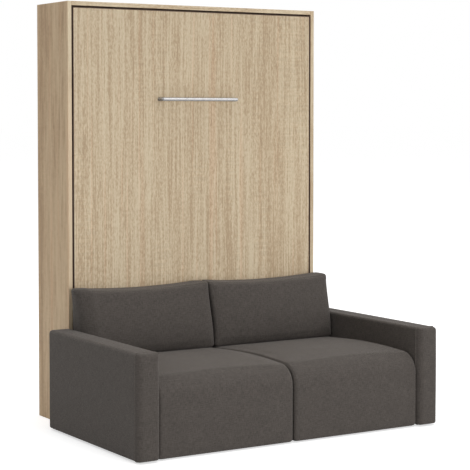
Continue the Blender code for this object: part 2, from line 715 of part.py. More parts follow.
def build_strut(side, sign):
    """One gas strut. Its own Z runs from the stud on the cabinet to the boss on the bed."""
    origin = place(sign * strut_x, STRUT_STUD_DEPTH, STRUT_STUD_HEIGHT)
    pivot = joint_empty("strut_pivot_" + side, origin)
    bore_radius = STRUT_ROD_RADIUS + FIT
    profile = [
        (0, STRUT_NECK_RADIUS),
        (STRUT_NECK_RADIUS, STRUT_NECK_RADIUS),
        (STRUT_NECK_RADIUS, STRUT_NECK_LENGTH - STRUT_SHOULDER),
        (STRUT_RADIUS, STRUT_NECK_LENGTH),
        (STRUT_RADIUS, cylinder_length - STRUT_MOUTH_CHAMFER),
        (STRUT_RADIUS - STRUT_MOUTH_CHAMFER, cylinder_length),
        (bore_radius, cylinder_length),
        (bore_radius, STRUT_FLOOR),
        (0, STRUT_FLOOR),
    ]
    cylinder = add_node(
        "strut_cylinder_" + side, turned(profile), "black steel", origin, pivot, tilt=strut_tilt,
        smooth=True, local=True,
    )
    half = STRUT_EYE_WIDTH / 2
    combine(cylinder, cylinder_along_x(Vector((0, 0, 0)), STRUT_EYE_RADIUS, -half, half), "UNION", "eye")
    reach = half + CUTTER_EXTRA
    bore = cylinder_along_x(Vector((0, 0, 0)), STRUT_STUD_RADIUS + FIT, -reach, reach)
    combine(cylinder, bore, "DIFFERENCE", "bore")

    rod_start = cylinder_length - STRUT_ENGAGED
    rod_end = strut_long - STRUT_SOCKET_RADIUS / 2
    profile = [(0, rod_start), (STRUT_ROD_RADIUS, rod_start), (STRUT_ROD_RADIUS, rod_end), (0, rod_end)]
    rod = add_node(
        "strut_rod_" + side, turned(profile), "zinc steel", origin, pivot, tilt=strut_tilt,
        smooth=True, local=True,
    )
    socket_centre = Vector((0, 0, strut_long))
    combine(rod, cylinder_along_x(socket_centre, STRUT_SOCKET_RADIUS, -half, half), "UNION", "socket")


# Sofa


def build_arm(side, sign):
    """A slab arm, rounded but for the edge against the cabinet, with its outer side and its top slightly full."""
    inner = sign * arm_inner
    outer = sign * (arm_outer - ARM_FULLNESS)
    low = place(min(inner, outer), -SOFA_DEPTH + ARM_FULLNESS, FOOT_HEIGHT)
    high = place(max(inner, outer), -FIT, ARM_HEIGHT - ARM_FULLNESS)
    solid = block(low, high)
    against_board = edges_where(solid, lambda at: at.y > high.y - NEARLY and abs(at.x - inner) < NEARLY)
    rounded = [edge for edge in solid.edges if edge not in against_board]
    round_edges(solid, rounded, ARM_EDGE_RADIUS, 4)
    for axis in (1, 2):
        middle = (low[axis] + high[axis]) / 2
        half = (high[axis] - low[axis]) / 2
        slice_across(solid, axis, [middle + half * share for share in SOFT_CUT_SHARES])

    def fullness(share, normal):
        outward = max(0.0, normal.x * sign) * swell(share.y) * swell(share.z) * sign
        forward = -max(0.0, -normal.y) * swell(share.z)
        upward = max(0.0, normal.z) * swell(share.y)
        return Vector((outward, forward, upward)) * ARM_FULLNESS

    push_out(solid, low, high, fullness)
    add_node("arm_" + side, solid, "sofa fabric", (low + high) / 2, smooth=True)
    middle_x = sign * (arm_inner + ARM_THICK / 2)
    for end, depth in (("front", -SOFA_DEPTH + FOOT_SETBACK), ("back", -FOOT_SETBACK)):
        foot = bmesh.new()
        height = FOOT_HEIGHT - FIT
        bmesh.ops.create_cone(
            foot, cap_ends=True, segments=ROUND_SIDES, radius1=FOOT_RADIUS, radius2=FOOT_RADIUS, depth=height,
        )
        rims = [edge for edge in foot.edges if edge.calc_face_angle() > SHARP_ANGLE]
        round_edges(foot, rims, FOOT_CHAMFER, 2)
        bmesh.ops.translate(foot, vec=place(middle_x, depth, height / 2), verts=foot.verts)
        add_node("foot_%s_%s" % (side, end), foot, "black plastic", place(middle_x, depth, 0), smooth=True)


def build_seat(side, sign):
    """One seat, upholstered in one piece over its top and front, on a base board with two skids."""
    near = sign * seat_inner
    far = sign * seat_outer
    back = -BACK_BOARD_THICK - FIT * 2
    front = -SOFA_DEPTH + SEAT_FRONT_INSET + SEAT_FRONT_FULLNESS
    low = place(min(near, far), front, SEAT_LOWEST)
    high = place(max(near, far), back, SEAT_HEIGHT)
    solid = block(low, high)

    top_front = edges_where(solid, lambda at: at.z > high.z - NEARLY and at.y < low.y + NEARLY)
    round_edges(solid, top_front, SEAT_FRONT_RADIUS, 6)
    sharp = [edge for edge in solid.edges if edge.calc_face_angle() > SHARP_ANGLE]
    round_edges(solid, sharp, SEAT_EDGE_RADIUS, 3)

    # A shallow recess under the seat takes the base board
    under = min(solid.faces, key=lambda face: (face.calc_center_median().z, -face.calc_area()))
    bmesh.ops.inset_region(solid, faces=[under], thickness=SEAT_RECESS_MARGIN - SEAT_EDGE_RADIUS)
    bmesh.ops.translate(solid, vec=(0, 0, SEAT_BASE_THICK + FIT), verts=under.verts)
    slice_box(solid, low, high)
    flat_line = front_y - cushion_low_front - FIT
    slice_across(solid, 1, [flat_line])
    flat_share = (flat_line - (low.y + high.y) / 2) * 2 / (high.y - low.y)

    def shape(share, normal):
        if share.z < UNDERSIDE_SHARE:
            return Vector((0, 0, 0))
        forward = max(0.0, min(1.0, (flat_share - share.y) / (flat_share + 1)))
        rise = math.sin(math.pi * forward) * (1 + swell(share.x)) / 2
        upward = SEAT_CROWN * rise * max(0.0, normal.z)
        outward = -SEAT_FRONT_FULLNESS * swell(share.x) * swell(share.z) * max(0.0, -normal.y)
        inward = -SEAT_DRAW * swell(share.y) * swell(share.z) * normal.x * abs(normal.x)
        return Vector((inward, outward, upward))

    push_out(solid, low, high, shape)
    add_node("seat_" + side, solid, "sofa fabric", (low + high) / 2, smooth=True)

    margin = SEAT_RECESS_MARGIN + FIT
    base_low = Vector((low.x + margin, low.y + margin, SEAT_LOWEST))
    base_high = Vector((high.x - margin, high.y - margin, seat_base_high))
    board("seat_base_" + side, base_low, base_high, "dark board")
    skid_half = (base_high.x - base_low.x) / 2 - SKID_INSET
    middle_x = (base_low.x + base_high.x) / 2
    starts = (("front", base_low.y + SKID_INSET), ("back", base_high.y - SKID_INSET - SKID_WIDTH))
    for end, start in starts:
        skid_low = Vector((middle_x - skid_half, start, 0))
        skid_high = Vector((middle_x + skid_half, start + SKID_WIDTH, SEAT_LOWEST - FIT))
        board("skid_%s_%s" % (side, end), skid_low, skid_high, "black plastic")


def build_back_board():
    """The board behind the seats, between the arms, which ties the sofa to the cabinet."""
    half = arm_inner - FIT
    low = place(-half, -BACK_BOARD_THICK - FIT, SEAT_LOWEST + SEAT_BASE_THICK)
    board("sofa_back_board", low, place(half, -FIT, BACK_BOARD_HEIGHT), "dark board")


def build_back_cushion(side, sign):
    """A loose wedge cushion that leans on the bed panel, with eared corners and drawn-in sides."""
    turn = joint_empty("cushion_turn_" + side, place(0, cushion_turn_depth, cushion_turn_height))
    bottom = SEAT_HEIGHT + FIT
    near = sign * CUSHION_SEAM_GAP / 2
    far = sign * (arm_inner - CUSHION_ARM_GAP)
    low = place(min(near, far), -cushion_low_front, bottom)
    high = place(max(near, far), -CUSHION_PANEL_GAP, CUSHION_TOP - CUSHION_CROWN / 2)
    solid = block(low, high)
    lean = CUSHION_BOTTOM_THICK - CUSHION_TOP_THICK
    middle = (low + high) / 2
    for vertex in solid.verts:
        if vertex.co.z < middle.z:
            continue
        if vertex.co.y < middle.y:
            vertex.co.y += lean
        if vertex.co.x * sign > middle.x * sign:
            vertex.co.x += CUSHION_FLARE * sign
    round_edges(solid, solid.edges[:], CUSHION_EDGE_RADIUS, 3)
    slice_box(solid, low, high)

    def shape(share, normal):
        forward = -CUSHION_CROWN * swell(share.x) * swell(share.z) * max(0.0, -normal.y)
        ears = max(0.0, normal.z) * (CUSHION_CROWN / 2 - CUSHION_SAG * swell(share.x))
        outwards = max(0.0, normal.x * sign)
        sideways = -CUSHION_DRAW * swell(share.z) * outwards * sign
        return Vector((sideways, forward, ears))

    push_out(solid, low, high, shape)
    add_node("back_cushion_" + side, solid, "sofa fabric", middle, turn, smooth=True)


def main():
    remove_everything()
    build_cabinet_boards()
    build_wall_brackets()
    build_cabinet_plates()
    bed_pivot = joint_empty("bed_pivot", place(0, PIVOT_DEPTH, pivot_height))
    build_bed_panel(bed_pivot)
    build_bed_frame(bed_pivot)
    build_mattress(bed_pivot)
    build_bed_plates(bed_pivot)
    build_handle(bed_pivot)
    leg_pivot = joint_empty("leg_pivot", place(0, LEG_PIVOT_DEPTH, leg_pivot_height), bed_pivot)
    build_leg(leg_pivot)
    build_back_board()
    for side, sign in SIDES:
        build_strut(side, sign)
        build_arm(side, sign)
        build_seat(side, sign)
        build_back_cushion(side, sign)
    bpy.context.view_layer.update()


main()
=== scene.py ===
"""Looks for the wall bed with sofa: its finishes, upholstery, mattress, painted shade in the gaps, screws and
stage.

Lengths are in metres, in the frame's own coordinates: X across, +Y towards the wall, Z up.
"""

import json
import math

import bmesh
import bpy
from mathutils import Matrix, Vector

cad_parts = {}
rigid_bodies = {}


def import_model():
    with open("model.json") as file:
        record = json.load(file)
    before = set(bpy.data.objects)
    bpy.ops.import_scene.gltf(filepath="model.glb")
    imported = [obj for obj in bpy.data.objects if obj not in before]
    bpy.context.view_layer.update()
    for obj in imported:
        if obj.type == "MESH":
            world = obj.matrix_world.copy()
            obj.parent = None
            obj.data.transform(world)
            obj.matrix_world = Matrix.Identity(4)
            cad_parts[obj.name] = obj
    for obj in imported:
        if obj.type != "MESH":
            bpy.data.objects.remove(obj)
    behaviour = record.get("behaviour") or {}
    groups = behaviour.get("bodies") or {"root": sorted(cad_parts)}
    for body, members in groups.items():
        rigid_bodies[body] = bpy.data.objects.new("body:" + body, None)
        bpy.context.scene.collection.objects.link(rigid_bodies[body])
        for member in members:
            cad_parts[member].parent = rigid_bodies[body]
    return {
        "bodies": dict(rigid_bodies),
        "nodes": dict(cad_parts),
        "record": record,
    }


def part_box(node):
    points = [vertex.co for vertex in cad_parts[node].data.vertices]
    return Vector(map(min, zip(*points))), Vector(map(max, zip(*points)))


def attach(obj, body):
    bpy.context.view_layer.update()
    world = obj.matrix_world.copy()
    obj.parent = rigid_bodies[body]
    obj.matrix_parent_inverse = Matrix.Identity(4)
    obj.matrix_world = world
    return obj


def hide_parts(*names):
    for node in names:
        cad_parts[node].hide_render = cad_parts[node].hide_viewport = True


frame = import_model()

bl_info = {
    "name": "Wall bed with sofa",
    "version": (1, 0, 0),
    "blender": (4, 5, 0),
    "location": "3D View > Sidebar > Wall bed",
    "description": "Dresses the frame of a wall bed with sofa",
    "category": "Object",
}

NODES = frame["nodes"]
BODY_OF_NODE = {
    node: body for body, nodes in frame["record"]["behaviour"]["bodies"].items() for node in nodes
}
SIDES = (("left", -1), ("right", 1))


def remove_other_objects():
    """Remove what a new file starts with, so that only the frame is left."""
    kept = set(frame["bodies"].values()) | set(NODES.values())
    for thing in list(bpy.data.objects):
        if thing not in kept:
            bpy.data.objects.remove(thing, do_unlink=True)


remove_other_objects()
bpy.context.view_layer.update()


# Sizes and colours that a user would change


def length(name, description, default):
    """A property for a length in metres."""
    return bpy.props.FloatProperty(
        name=name, description=description, default=default, precision=4, unit="LENGTH",
    )


def colour(name, description, default):
    """A property for a linear colour."""
    return bpy.props.FloatVectorProperty(
        name=name, description=description, default=default, size=3, subtype="COLOR",
    )


def share(name, description, default):
    """A property for a share of a whole."""
    return bpy.props.FloatProperty(
        name=name, description=description, default=default, min=0, max=1, subtype="FACTOR",
    )


class OakSettings(bpy.types.PropertyGroup):
    """The pale oak decor of the cabinet and the bed's front panel."""

    tone: colour("Oak", "Mean colour of the decor", (0.530, 0.418, 0.280))
    contrast: share("Contrast", "How far the streaks leave the mean colour", 0.58)
    waver: length("Waver", "How far the grain wanders from a straight line", 0.022)
    saw_mark: length("Saw mark", "Spacing of the faint marks across the grain", 0.0085)
    pore_depth: length("Pore depth", "Depth of the printed pores", 0.0003)
    rough: share("Roughness", "Roughness of the matt surface", 0.55)


class FabricSettings(bpy.types.PropertyGroup):
    """The sofa's upholstery fabric."""

    tone: colour("Fabric", "Colour of the sofa fabric", (0.0780, 0.0675, 0.0600))
    thread: length("Thread", "Spacing of the weave's threads", 0.0016)
    thread_height: length("Thread height", "How high a thread stands", 0.0004)
    sheen: share("Sheen", "Soft glow at grazing angles", 0.20)


class MattressSettings(bpy.types.PropertyGroup):
    """The mattress and its quilted cover."""

    tone: colour("Ticking", "Colour of the knitted cover", (0.80, 0.79, 0.76))
    border_tone: colour("Border", "Colour of the band round the sides", (0.62, 0.61, 0.58))
    quilt: length("Quilting", "Distance between two rows of quilting", 0.115)
    quilt_depth: length("Quilting depth", "How deep the stitched rows lie", 0.007)
    piping: length("Piping", "Radius of the tape sewn round the edges", 0.004)
    grid: length("Grid", "Size of the mesh on the quilted faces", 0.0115)


class ArmSettings(bpy.types.PropertyGroup):
    """The two slab arms."""

    soft_radius: length("Soft radius", "Rounding of each arm's left upright front edge", 0.030)
    outer_radius: length("Outer radius", "Rounding of the outer and front edges", 0.018)
    inner_radius: length("Inner radius", "Rounding of the other edges", 0.013)
    fullness: length("Fullness", "How far the outer and upper faces stand proud of the frame", 0.002)
    overhang: length("Overhang", "How far the padding reaches forwards past its frame", 0.018)
    front_fullness: length("Front fullness", "How far the front bulges", 0.006)
    drop: length("Drop", "How far the cover reaches below its frame", 0.003)
    welt: length("Welt", "Radius of the cord sewn in behind the front", 0.0022)


class SeatSettings(bpy.types.PropertyGroup):
    """The two upholstered seats."""

    front_radius: length("Front radius", "Rounding of the top front edge", 0.090)
    edge_radius: length("Edge radius", "Rounding of the other edges", 0.018)
    crown: length("Crown", "Rise in the middle of the seat", 0.030)
    front_fullness: length("Front fullness", "How far the front bulges", 0.005)
    overhang: length("Overhang", "How far the cover reaches forwards past its frame", 0.008)
    drop: length("Drop", "How far the cover reaches below its frame", 0.006)
    swell_cap: length("Swell cap", "Furthest that a point may swell", 0.004)


class CushionSettings(bpy.types.PropertyGroup):
    """The two loose back cushions."""

    top_thickness: length("Top thickness", "Thickness along the top edge", 0.126)
    bottom_thickness: length("Bottom thickness", "Thickness along the bottom edge", 0.216)
    flare: length("Flare", "How much wider the top is than the bottom", 0.010)
    front_radius: length("Front radius", "Rounding of the upright front edges", 0.024)
    back_radius: length("Back radius", "Rounding of the upright back edges", 0.050)
    edge_radius: length("Edge radius", "Rounding of the other edges", 0.018)
    end_radius: length("End radius", "Rounding of the left cushion's outer front edge", 0.068)
    corner_pull: length("Corner pull", "How far the upper corners are drawn outwards", 0.008)
    crown: length("Crown", "How far the front bulges", 0.022)
    tuck: length("Tuck", "How far the lower front draws back to the seat", 0.026)
    ear: length("Ear", "How far the top lies below its full height, half of which its corners rise", 0.007)
    top_sag: length("Top sag", "How deep the top edge hangs between its corners", 0.018)
    side_draw: length("Side draw", "How far the sides pull in between the corners", 0.004)
    swell_cap: length("Swell cap", "Furthest that a point may swell", 0.006)


class StageSettings(bpy.types.PropertyGroup):
    """Floor, lamps and camera."""

    floor_tone: colour("Floor", "Colour of the floor", (0.80, 0.80, 0.80))
    sky_strength: bpy.props.FloatProperty(
        name="Sky", description="Strength of the even light from all round", default=0.52,
    )
    top_power: bpy.props.FloatProperty(
        name="Top light", description="Power of the large lamp overhead", default=1060, unit="POWER",
    )
    front_power: bpy.props.FloatProperty(
        name="Front light", description="Power of the large lamp in front", default=400, unit="POWER",
    )
    camera_place: bpy.props.FloatVectorProperty(
        name="Camera place", description="Where the camera stands", default=(-4.2085, -6.8412, 1.5976),
        size=3, subtype="TRANSLATION", unit="LENGTH",
    )
    camera_turn: bpy.props.FloatProperty(
        name="Camera turn", description="Turn to the right of the wall's normal",
        default=math.radians(31.983), subtype="ANGLE", unit="ROTATION",
    )
    camera_tip: bpy.props.FloatProperty(
        name="Camera tip", description="Angle below the horizon",
        default=math.radians(2.383), subtype="ANGLE", unit="ROTATION",
    )
    camera_lens: bpy.props.FloatProperty(
        name="Lens", description="Focal length in millimetres", default=118.89, unit="CAMERA",
    )
    camera_shift: bpy.props.FloatProperty(
        name="Shift", description="Vertical shift that keeps uprights nearly parallel", default=-0.12,
    )


# Short calls for node trees


class Finish:
    """A material under construction, with one short call for each kind of node."""

    def __init__(self, name):
        self.material = bpy.data.materials.new(name)
        self.material.use_nodes = True
        self.tree = self.material.node_tree
        self.tree.nodes.clear()
        self.shader = self.add("ShaderNodeBsdfPrincipled")
        output = self.add("ShaderNodeOutputMaterial")
        self.tree.links.new(self.shader.outputs["BSDF"], output.inputs["Surface"])

    def add(self, kind, **settings):
        """A new node with the given settings."""
        node = self.tree.nodes.new(kind)
        for name, value in settings.items():
            setattr(node, name, value)
        return node

    def feed(self, socket, value):
        """Set a socket to a value, or link it to another node's output."""
        if isinstance(value, bpy.types.NodeSocket):
            self.tree.links.new(value, socket)
        else:
            socket.default_value = value

    def surface(self, name, value):
        """Set or link one of the shader's sockets."""
        self.feed(self.shader.inputs[name], value)

    def place(self):
        """Coordinates of the point in the frame, in metres."""
        return self.add("ShaderNodeTexCoord").outputs["Object"]

    def uv(self):
        """The piece's own UV map, in metres along the fabric."""
        return self.add("ShaderNodeTexCoord").outputs["UV"]

    def stretched(self, place, scale, shift=(0, 0, 0)):
        """Coordinates multiplied by a scale and moved."""
        node = self.add("ShaderNodeMapping")
        self.feed(node.inputs["Vector"], place)
        node.inputs["Location"].default_value = shift
        node.inputs["Scale"].default_value = scale
        return node.outputs[0]

    def noise(self, place, detail=2.0, rough=0.5):
        """Smooth random values between about 0.25 and 0.75."""
        node = self.add("ShaderNodeTexNoise")
        self.feed(node.inputs["Vector"], place)
        node.inputs["Scale"].default_value = 1.0
        node.inputs["Detail"].default_value = detail
        node.inputs["Roughness"].default_value = rough
        return node.outputs[0]

    def figure(self, name, place):
        """The random values of a figure from the table of figures."""
        scales, detail, rough = FIGURES[name]
        return self.noise(self.stretched(place, scales), detail, rough)

    def split(self, vector):
        """The three parts of a vector."""
        node = self.add("ShaderNodeSeparateXYZ")
        self.feed(node.inputs[0], vector)
        return node.outputs

    def facing(self):
        """The three parts of the direction that the surface faces."""
        return self.split(self.add("ShaderNodeNewGeometry").outputs["Normal"])

    def maths(self, operation, *values):
        """One operation on one to three values."""
        node = self.add("ShaderNodeMath", operation=operation)
        for socket, value in zip(node.inputs, values):
            self.feed(socket, value)
        return node.outputs[0]

    def weigh(self, figure, weight, mixed):
        """Add a figure's distance from its middle, times a weight, to what is mixed so far."""
        return self.maths("MULTIPLY_ADD", self.maths("SUBTRACT", figure, MIDDLE), weight, mixed)

    def spread(self, value, low, high, low_out=0.0, high_out=1.0):
        """Stretch a range of values onto another range, and hold it there."""
        node = self.add("ShaderNodeMapRange")
        for socket, number in zip(node.inputs, (value, low, high, low_out, high_out)):
            self.feed(socket, number)
        return node.outputs[0]

    def ramp(self, value, stops):
        """Colours along a value, from a list of (place, colour)."""
        node = self.add("ShaderNodeValToRGB")
        self.feed(node.inputs[0], value)
        elements = node.color_ramp.elements
        while len(elements) < len(stops):
            elements.new(1.0)
        for element, (where, tone) in zip(elements, stops):
            element.position = where
            element.color = (*tone, 1)
        return node.outputs[0]

    def blend(self, factor, first, second, mode="MIX"):
        """Two colours mixed or multiplied."""
        node = self.add("ShaderNodeMix", data_type="RGBA", blend_type=mode)
        self.feed(node.inputs["Factor"], factor)
        for socket, value in ((node.inputs[6], first), (node.inputs[7], second)):
            self.feed(socket, value if isinstance(value, bpy.types.NodeSocket) else (*value, 1))
        return node.outputs[2]

    def bump(self, height, depth, strength=1.0):
        """Feed a height to the shader's normal, with its real depth."""
        node = self.add("ShaderNodeBump")
        node.inputs["Distance"].default_value = depth
        node.inputs["Strength"].default_value = strength
        self.feed(node.inputs["Height"], height)
        self.surface("Normal", node.outputs[0])

    def coat(self, name, tone, rough_figure, relief_figure):
        """Feed a colour, and give the roughness and relief of the table of surfaces to their figures."""
        roughness, relief = SURFACES[name]
        self.surface("Base Color", tone)
        self.surface("Roughness", self.spread(rough_figure, *USUAL_RANGE, *roughness))
        self.bump(relief_figure, *relief)


def shade(tone, factor):
    """A colour multiplied by a number or by three."""
    factors = factor if hasattr(factor, "__len__") else (factor,) * 3
    return tuple(channel * by for channel, by in zip(tone, factors))


def tinted(tone, tints):
    """A colour's stops for a ramp, from places and tints."""
    return [(where, shade(tone, tint)) for where, tint in tints]


def repaint(node, material):
    """Give a carried-over CAD node its finish."""
    NODES[node].data.materials.clear()
    NODES[node].data.materials.append(material)


# Finishes

MIDDLE = 0.5
USUAL_RANGE = (0.3, 0.7)
PLAIN_DETAIL = 1.0

# Oak decor: tints at their places on its scale of values, then those of what lies over it, and the painted
# shade of faces that look sideways
OAK_TINTS = (
    (0.10, (0.80, 0.74, 0.685)), (0.38, (0.94, 0.92, 0.90)),
    (0.60, (1.05, 1.07, 1.085)), (0.92, (1.15, 1.215, 1.265)),
)
ROSE_TINT = (1.03, 0.965, 0.945)
PAINTED_SIDE_SHADE = (0.975, 0.88, 0.787)
SAW_TINT = (1.3, 1.3, 1.3)
PORE_TINT = (0.62, 0.56, 0.48)
SIDE_WIDTH = 3.6
BOARD_SHIFT = Vector((3.7, 5.1, 2.3))

# Painted light and shade on a board: factors at its foot and at its top, so that it looks evenly lit
PAINTED_HEIGHT_SHADE = {"bed_panel": (1.09, 0.91)}

# Bands of a board: their axis, and each one's place and change of value
BAND_HALF = 0.045
BAND_WEIGHT = 0.55
BANDS = {
    "bed_panel": (0, (
        (-0.58, 0.10), (-0.405, -0.20), (-0.20, 0.06), (0.0, 0.12), (0.20, -0.22), (0.30, 0.08),
        (0.40, -0.20), (0.50, -0.16), (0.60, 0.14),
    )),
    "side_panel_left": (1, ((0.285, 0.30), (0.40, 0.12), (0.60, -0.44))),
    "side_panel_right": (1, ((0.285, -0.16), (0.40, 0.10), (0.58, -0.20))),
}

# Figures of the oak: scales across and along the grain, detail, roughness and weight
OAK_FIGURES = (
    ("planks", (6.0, 0.20), 2.0, 0.5, 0.50),
    ("streaks", (38.0, 0.8), 3.0, 0.55, 0.80),
    ("lines", (100.0, 2.0), 2.0, 0.5, 1.05),
    ("fine", (200.0, 4.5), 2.0, 0.6, 1.30),
    ("flecks", (170.0, 58.0), 2.0, 0.6, 1.55),
)
WAVER_SCALES = (1.7, 0.55)
RING_SCALES = (2.6, 0.34)
RING_RATE = 95.0
RING_WEIGHT = 0.06
HEART_RANGE = (0.16, 0.40)
ROSE_SCALES = (55.0, 0.5)
ROSE_RANGE = (0.60, 0.72)
SAW_ACROSS = 9.0
SAW_RANGE = (0.38, 0.62)
SAW_STRENGTH = 0.15
SAW_RELIEF = 0.15
PATCH_SCALES = (9.0, 1.3)
PATCH_RANGE = (0.50, 0.62)
PORE_SCALES = (620.0, 17.0)
PORE_RANGE = (0.60, 0.68)
PORE_STREAK_RANGE = (0.62, 0.40)
PORE_STRENGTH = 0.5
PORE_RELIEF = 0.6
SIDE_SHADE_RANGE = (0.5, 0.6)
OAK_ROUGH_SPREAD = 0.06
OAK_SPECULAR = 0.35


def band_ramp(finish, grain, node):
    """Soft darker and paler bands at their places across a board, as a value round zero."""
    axis, bands = BANDS[node]
    start, end = (corner[axis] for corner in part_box(node))
    across = finish.spread(finish.split(grain)[axis], start, end)
    stops = [(0.0, MIDDLE)]
    for place, change in bands:
        middle = (place - start) / (end - start)
        reach = BAND_HALF / (end - start)
        stops += [(middle - reach, MIDDLE), (middle, MIDDLE + change), (middle + reach, MIDDLE)]
    stops = [(where, (level,) * 3) for where, level in sorted(stops) if 0 <= where <= 1]
    return finish.maths("SUBTRACT", finish.ramp(across, stops), MIDDLE)


def oak_finish(node, grain_axis, number, width=1.0):
    """Pale oak decor: bands and streaks of unlike tone, pores and faint saw marks across the grain.

    Width is how much wider than usual its streaks are.
    """
    look = bpy.context.scene.wall_bed_oak
    finish = Finish("oak_" + node)
    place = finish.place()

    def along(scales, start=place):
        scale = [scales[0] / width] * 3
        scale[grain_axis] = scales[1]
        return finish.stretched(start, scale, BOARD_SHIFT * number)

    waver = finish.maths("SUBTRACT", finish.noise(along(WAVER_SCALES)), MIDDLE)
    waver = finish.maths("MULTIPLY", waver, look.waver * 2)
    moved = finish.add("ShaderNodeVectorMath", operation="ADD")
    finish.feed(moved.inputs[0], place)
    finish.feed(moved.inputs[1], waver)
    grain = moved.outputs[0]

    figures = {}
    mixed = 0.0
    for figure, scales, detail, rough, weight in OAK_FIGURES:
        figures[figure] = finish.noise(along(scales, grain), detail, rough)
        if figure == "flecks":
            weight /= width
        mixed = finish.weigh(figures[figure], weight, mixed)
    rings = finish.add("ShaderNodeTexVoronoi", feature="SMOOTH_F1")
    finish.feed(rings.inputs["Vector"], along(RING_SCALES, grain))
    rings.inputs["Scale"].default_value = 1.0
    from_heart = rings.outputs["Distance"]
    wave = finish.maths("SINE", finish.maths("MULTIPLY", from_heart, RING_RATE))
    wave = finish.maths("MULTIPLY", wave, finish.spread(from_heart, *HEART_RANGE, 1.0, 0.0))
    mixed = finish.maths("MULTIPLY_ADD", wave, RING_WEIGHT, mixed)
    if node in BANDS:
        mixed = finish.maths("MULTIPLY_ADD", band_ramp(finish, grain, node), BAND_WEIGHT, mixed)
    value = finish.maths("MULTIPLY_ADD", mixed, look.contrast * 2, MIDDLE)
    wood = finish.ramp(value, tinted(look.tone, OAK_TINTS))
    rose = finish.spread(finish.noise(along(ROSE_SCALES, grain), PLAIN_DETAIL), *ROSE_RANGE)
    wood = finish.blend(rose, wood, ROSE_TINT, "MULTIPLY")

    across = [SAW_ACROSS] * 3
    across[grain_axis] = 1 / look.saw_mark
    marks = finish.noise(finish.stretched(place, across, BOARD_SHIFT * number), PLAIN_DETAIL)
    patches = finish.spread(finish.noise(along(PATCH_SCALES)), *PATCH_RANGE)
    marks = finish.maths("MULTIPLY", finish.spread(marks, *SAW_RANGE, -1.0, 1.0), patches)
    lighter = finish.maths("MULTIPLY_ADD", marks, SAW_STRENGTH, SAW_STRENGTH)
    wood = finish.blend(lighter, wood, SAW_TINT, "MULTIPLY")

    pores = finish.spread(finish.noise(along(PORE_SCALES, grain), PLAIN_DETAIL), *PORE_RANGE)
    pores = finish.maths("MULTIPLY", pores, finish.spread(figures["streaks"], *PORE_STREAK_RANGE))
    wood = finish.blend(finish.maths("MULTIPLY", pores, PORE_STRENGTH), wood, PORE_TINT, "MULTIPLY")

    # Painted shade: faces that look sideways, such as the side panels, are darkened and warmed in their
    # colour.
    sideways = finish.spread(finish.maths("ABSOLUTE", finish.facing()["X"]), *SIDE_SHADE_RANGE)
    wood = finish.blend(sideways, wood, PAINTED_SIDE_SHADE, "MULTIPLY")
    # Painted light and shade: the bed panel is lightened towards its foot and darkened towards its top, so
    # that it looks evenly lit.
    if node in PAINTED_HEIGHT_SHADE:
        foot, top = (corner.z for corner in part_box(node))
        level = finish.spread(finish.split(place)["Z"], foot, top, *PAINTED_HEIGHT_SHADE[node])
        wood = finish.blend(1.0, wood, level, "MULTIPLY")
    finish.surface("Base Color", wood)
    smoothest, roughest = look.rough - OAK_ROUGH_SPREAD, look.rough + OAK_ROUGH_SPREAD
    finish.surface("Roughness", finish.spread(figures["fine"], *USUAL_RANGE, smoothest, roughest))
    finish.surface("Specular IOR Level", OAK_SPECULAR)
    height = finish.maths("MULTIPLY_ADD", marks, SAW_RELIEF, finish.maths("SUBTRACT", 1.0, pores))
    finish.bump(height, look.pore_depth, PORE_RELIEF)
    return finish.material


# Figures of the other finishes: scales along X, Y and Z, detail and roughness
FIGURES = {
    "birch_plywood": ((3, 60, 24), 4.0, 0.6),
    "dark_board": ((40, 260, 260), 4.0, 0.6),
    "painted_gap_shade": ((300, 300, 12), 3.0, 0.5),
    "black_plastic": ((1400, 1400, 1400), 2.0, 0.5),
    "bar_lines": ((12, 2600, 2600), 3.0, 0.7),
    "bar_clouds": ((30, 90, 90), 3.0, 0.5),
    "coat_peel": ((900, 900, 900), 2.0, 0.5),
    "coat_dust": ((35, 35, 35), 4.0, 0.6),
    "zinc_streaks": ((500, 500, 30), 3.0, 0.5),
    "yarn": ((700, 700, 1), 2.0, 0.5),
    "warp": ((260, 45, 1), 2.0, 0.5),
    "weft": ((45, 260, 1), 2.0, 0.5),
    "mottle": ((22, 22, 22), 4.0, 0.6),
    "ticking_cloud": ((14, 14, 14), 3.0, 0.5),
    "floor_cloud": ((3, 3, 3), 3.0, 0.5),
}

# Colours at their places along a finish's figure
TONES = {
    "birch_plywood": ((0.25, (0.50, 0.35, 0.21)), (0.5, (0.66, 0.50, 0.33)), (0.75, (0.76, 0.62, 0.43))),
    "dark_board": ((0.3, (0.030, 0.026, 0.022)), (0.7, (0.070, 0.062, 0.054))),
    # Painted shade for the strips in the gap round the bed panel
    "painted_gap_shade": ((0.3, (0.062, 0.036, 0.027)), (0.7, (0.100, 0.060, 0.046))),
    "black_plastic": ((0.3, (0.014, 0.014, 0.014)), (0.7, (0.022, 0.022, 0.022))),
    "brushed_aluminium": ((0.3, (0.79, 0.78, 0.77)), (0.7, (0.91, 0.90, 0.895))),
    "black_powder_coat": ((0.35, (0.018, 0.018, 0.019)), (0.75, (0.034, 0.034, 0.035))),
    "zinc_plating": ((0.1, (0.56, 0.57, 0.58)), (0.8, (0.66, 0.67, 0.68))),
}

# Least and most roughness of a finish, then the depth and strength of its relief
SURFACES = {
    "birch_plywood": ((0.36, 0.48), (0.0002, 0.4)),
    "dark_board": ((0.62, 0.78), (0.0002, 0.5)),
    "painted_gap_shade": ((0.55, 0.70), (0.0001, 0.4)),
    "black_plastic": ((0.42, 0.55), (0.0002, 0.5)),
    "brushed_aluminium": ((0.20, 0.30), (0.00006, 0.5)),
    "black_powder_coat": ((0.36, 0.48), (0.0002, 0.5)),
    "zinc_plating": ((0.26, 0.40), (0.00008, 0.4)),
    "ticking": ((0.82, 0.92), (0.0005, 0.6)),
}
USUAL_SPECULAR = 0.5
SHADE_STRIP_SPECULAR = 0.2


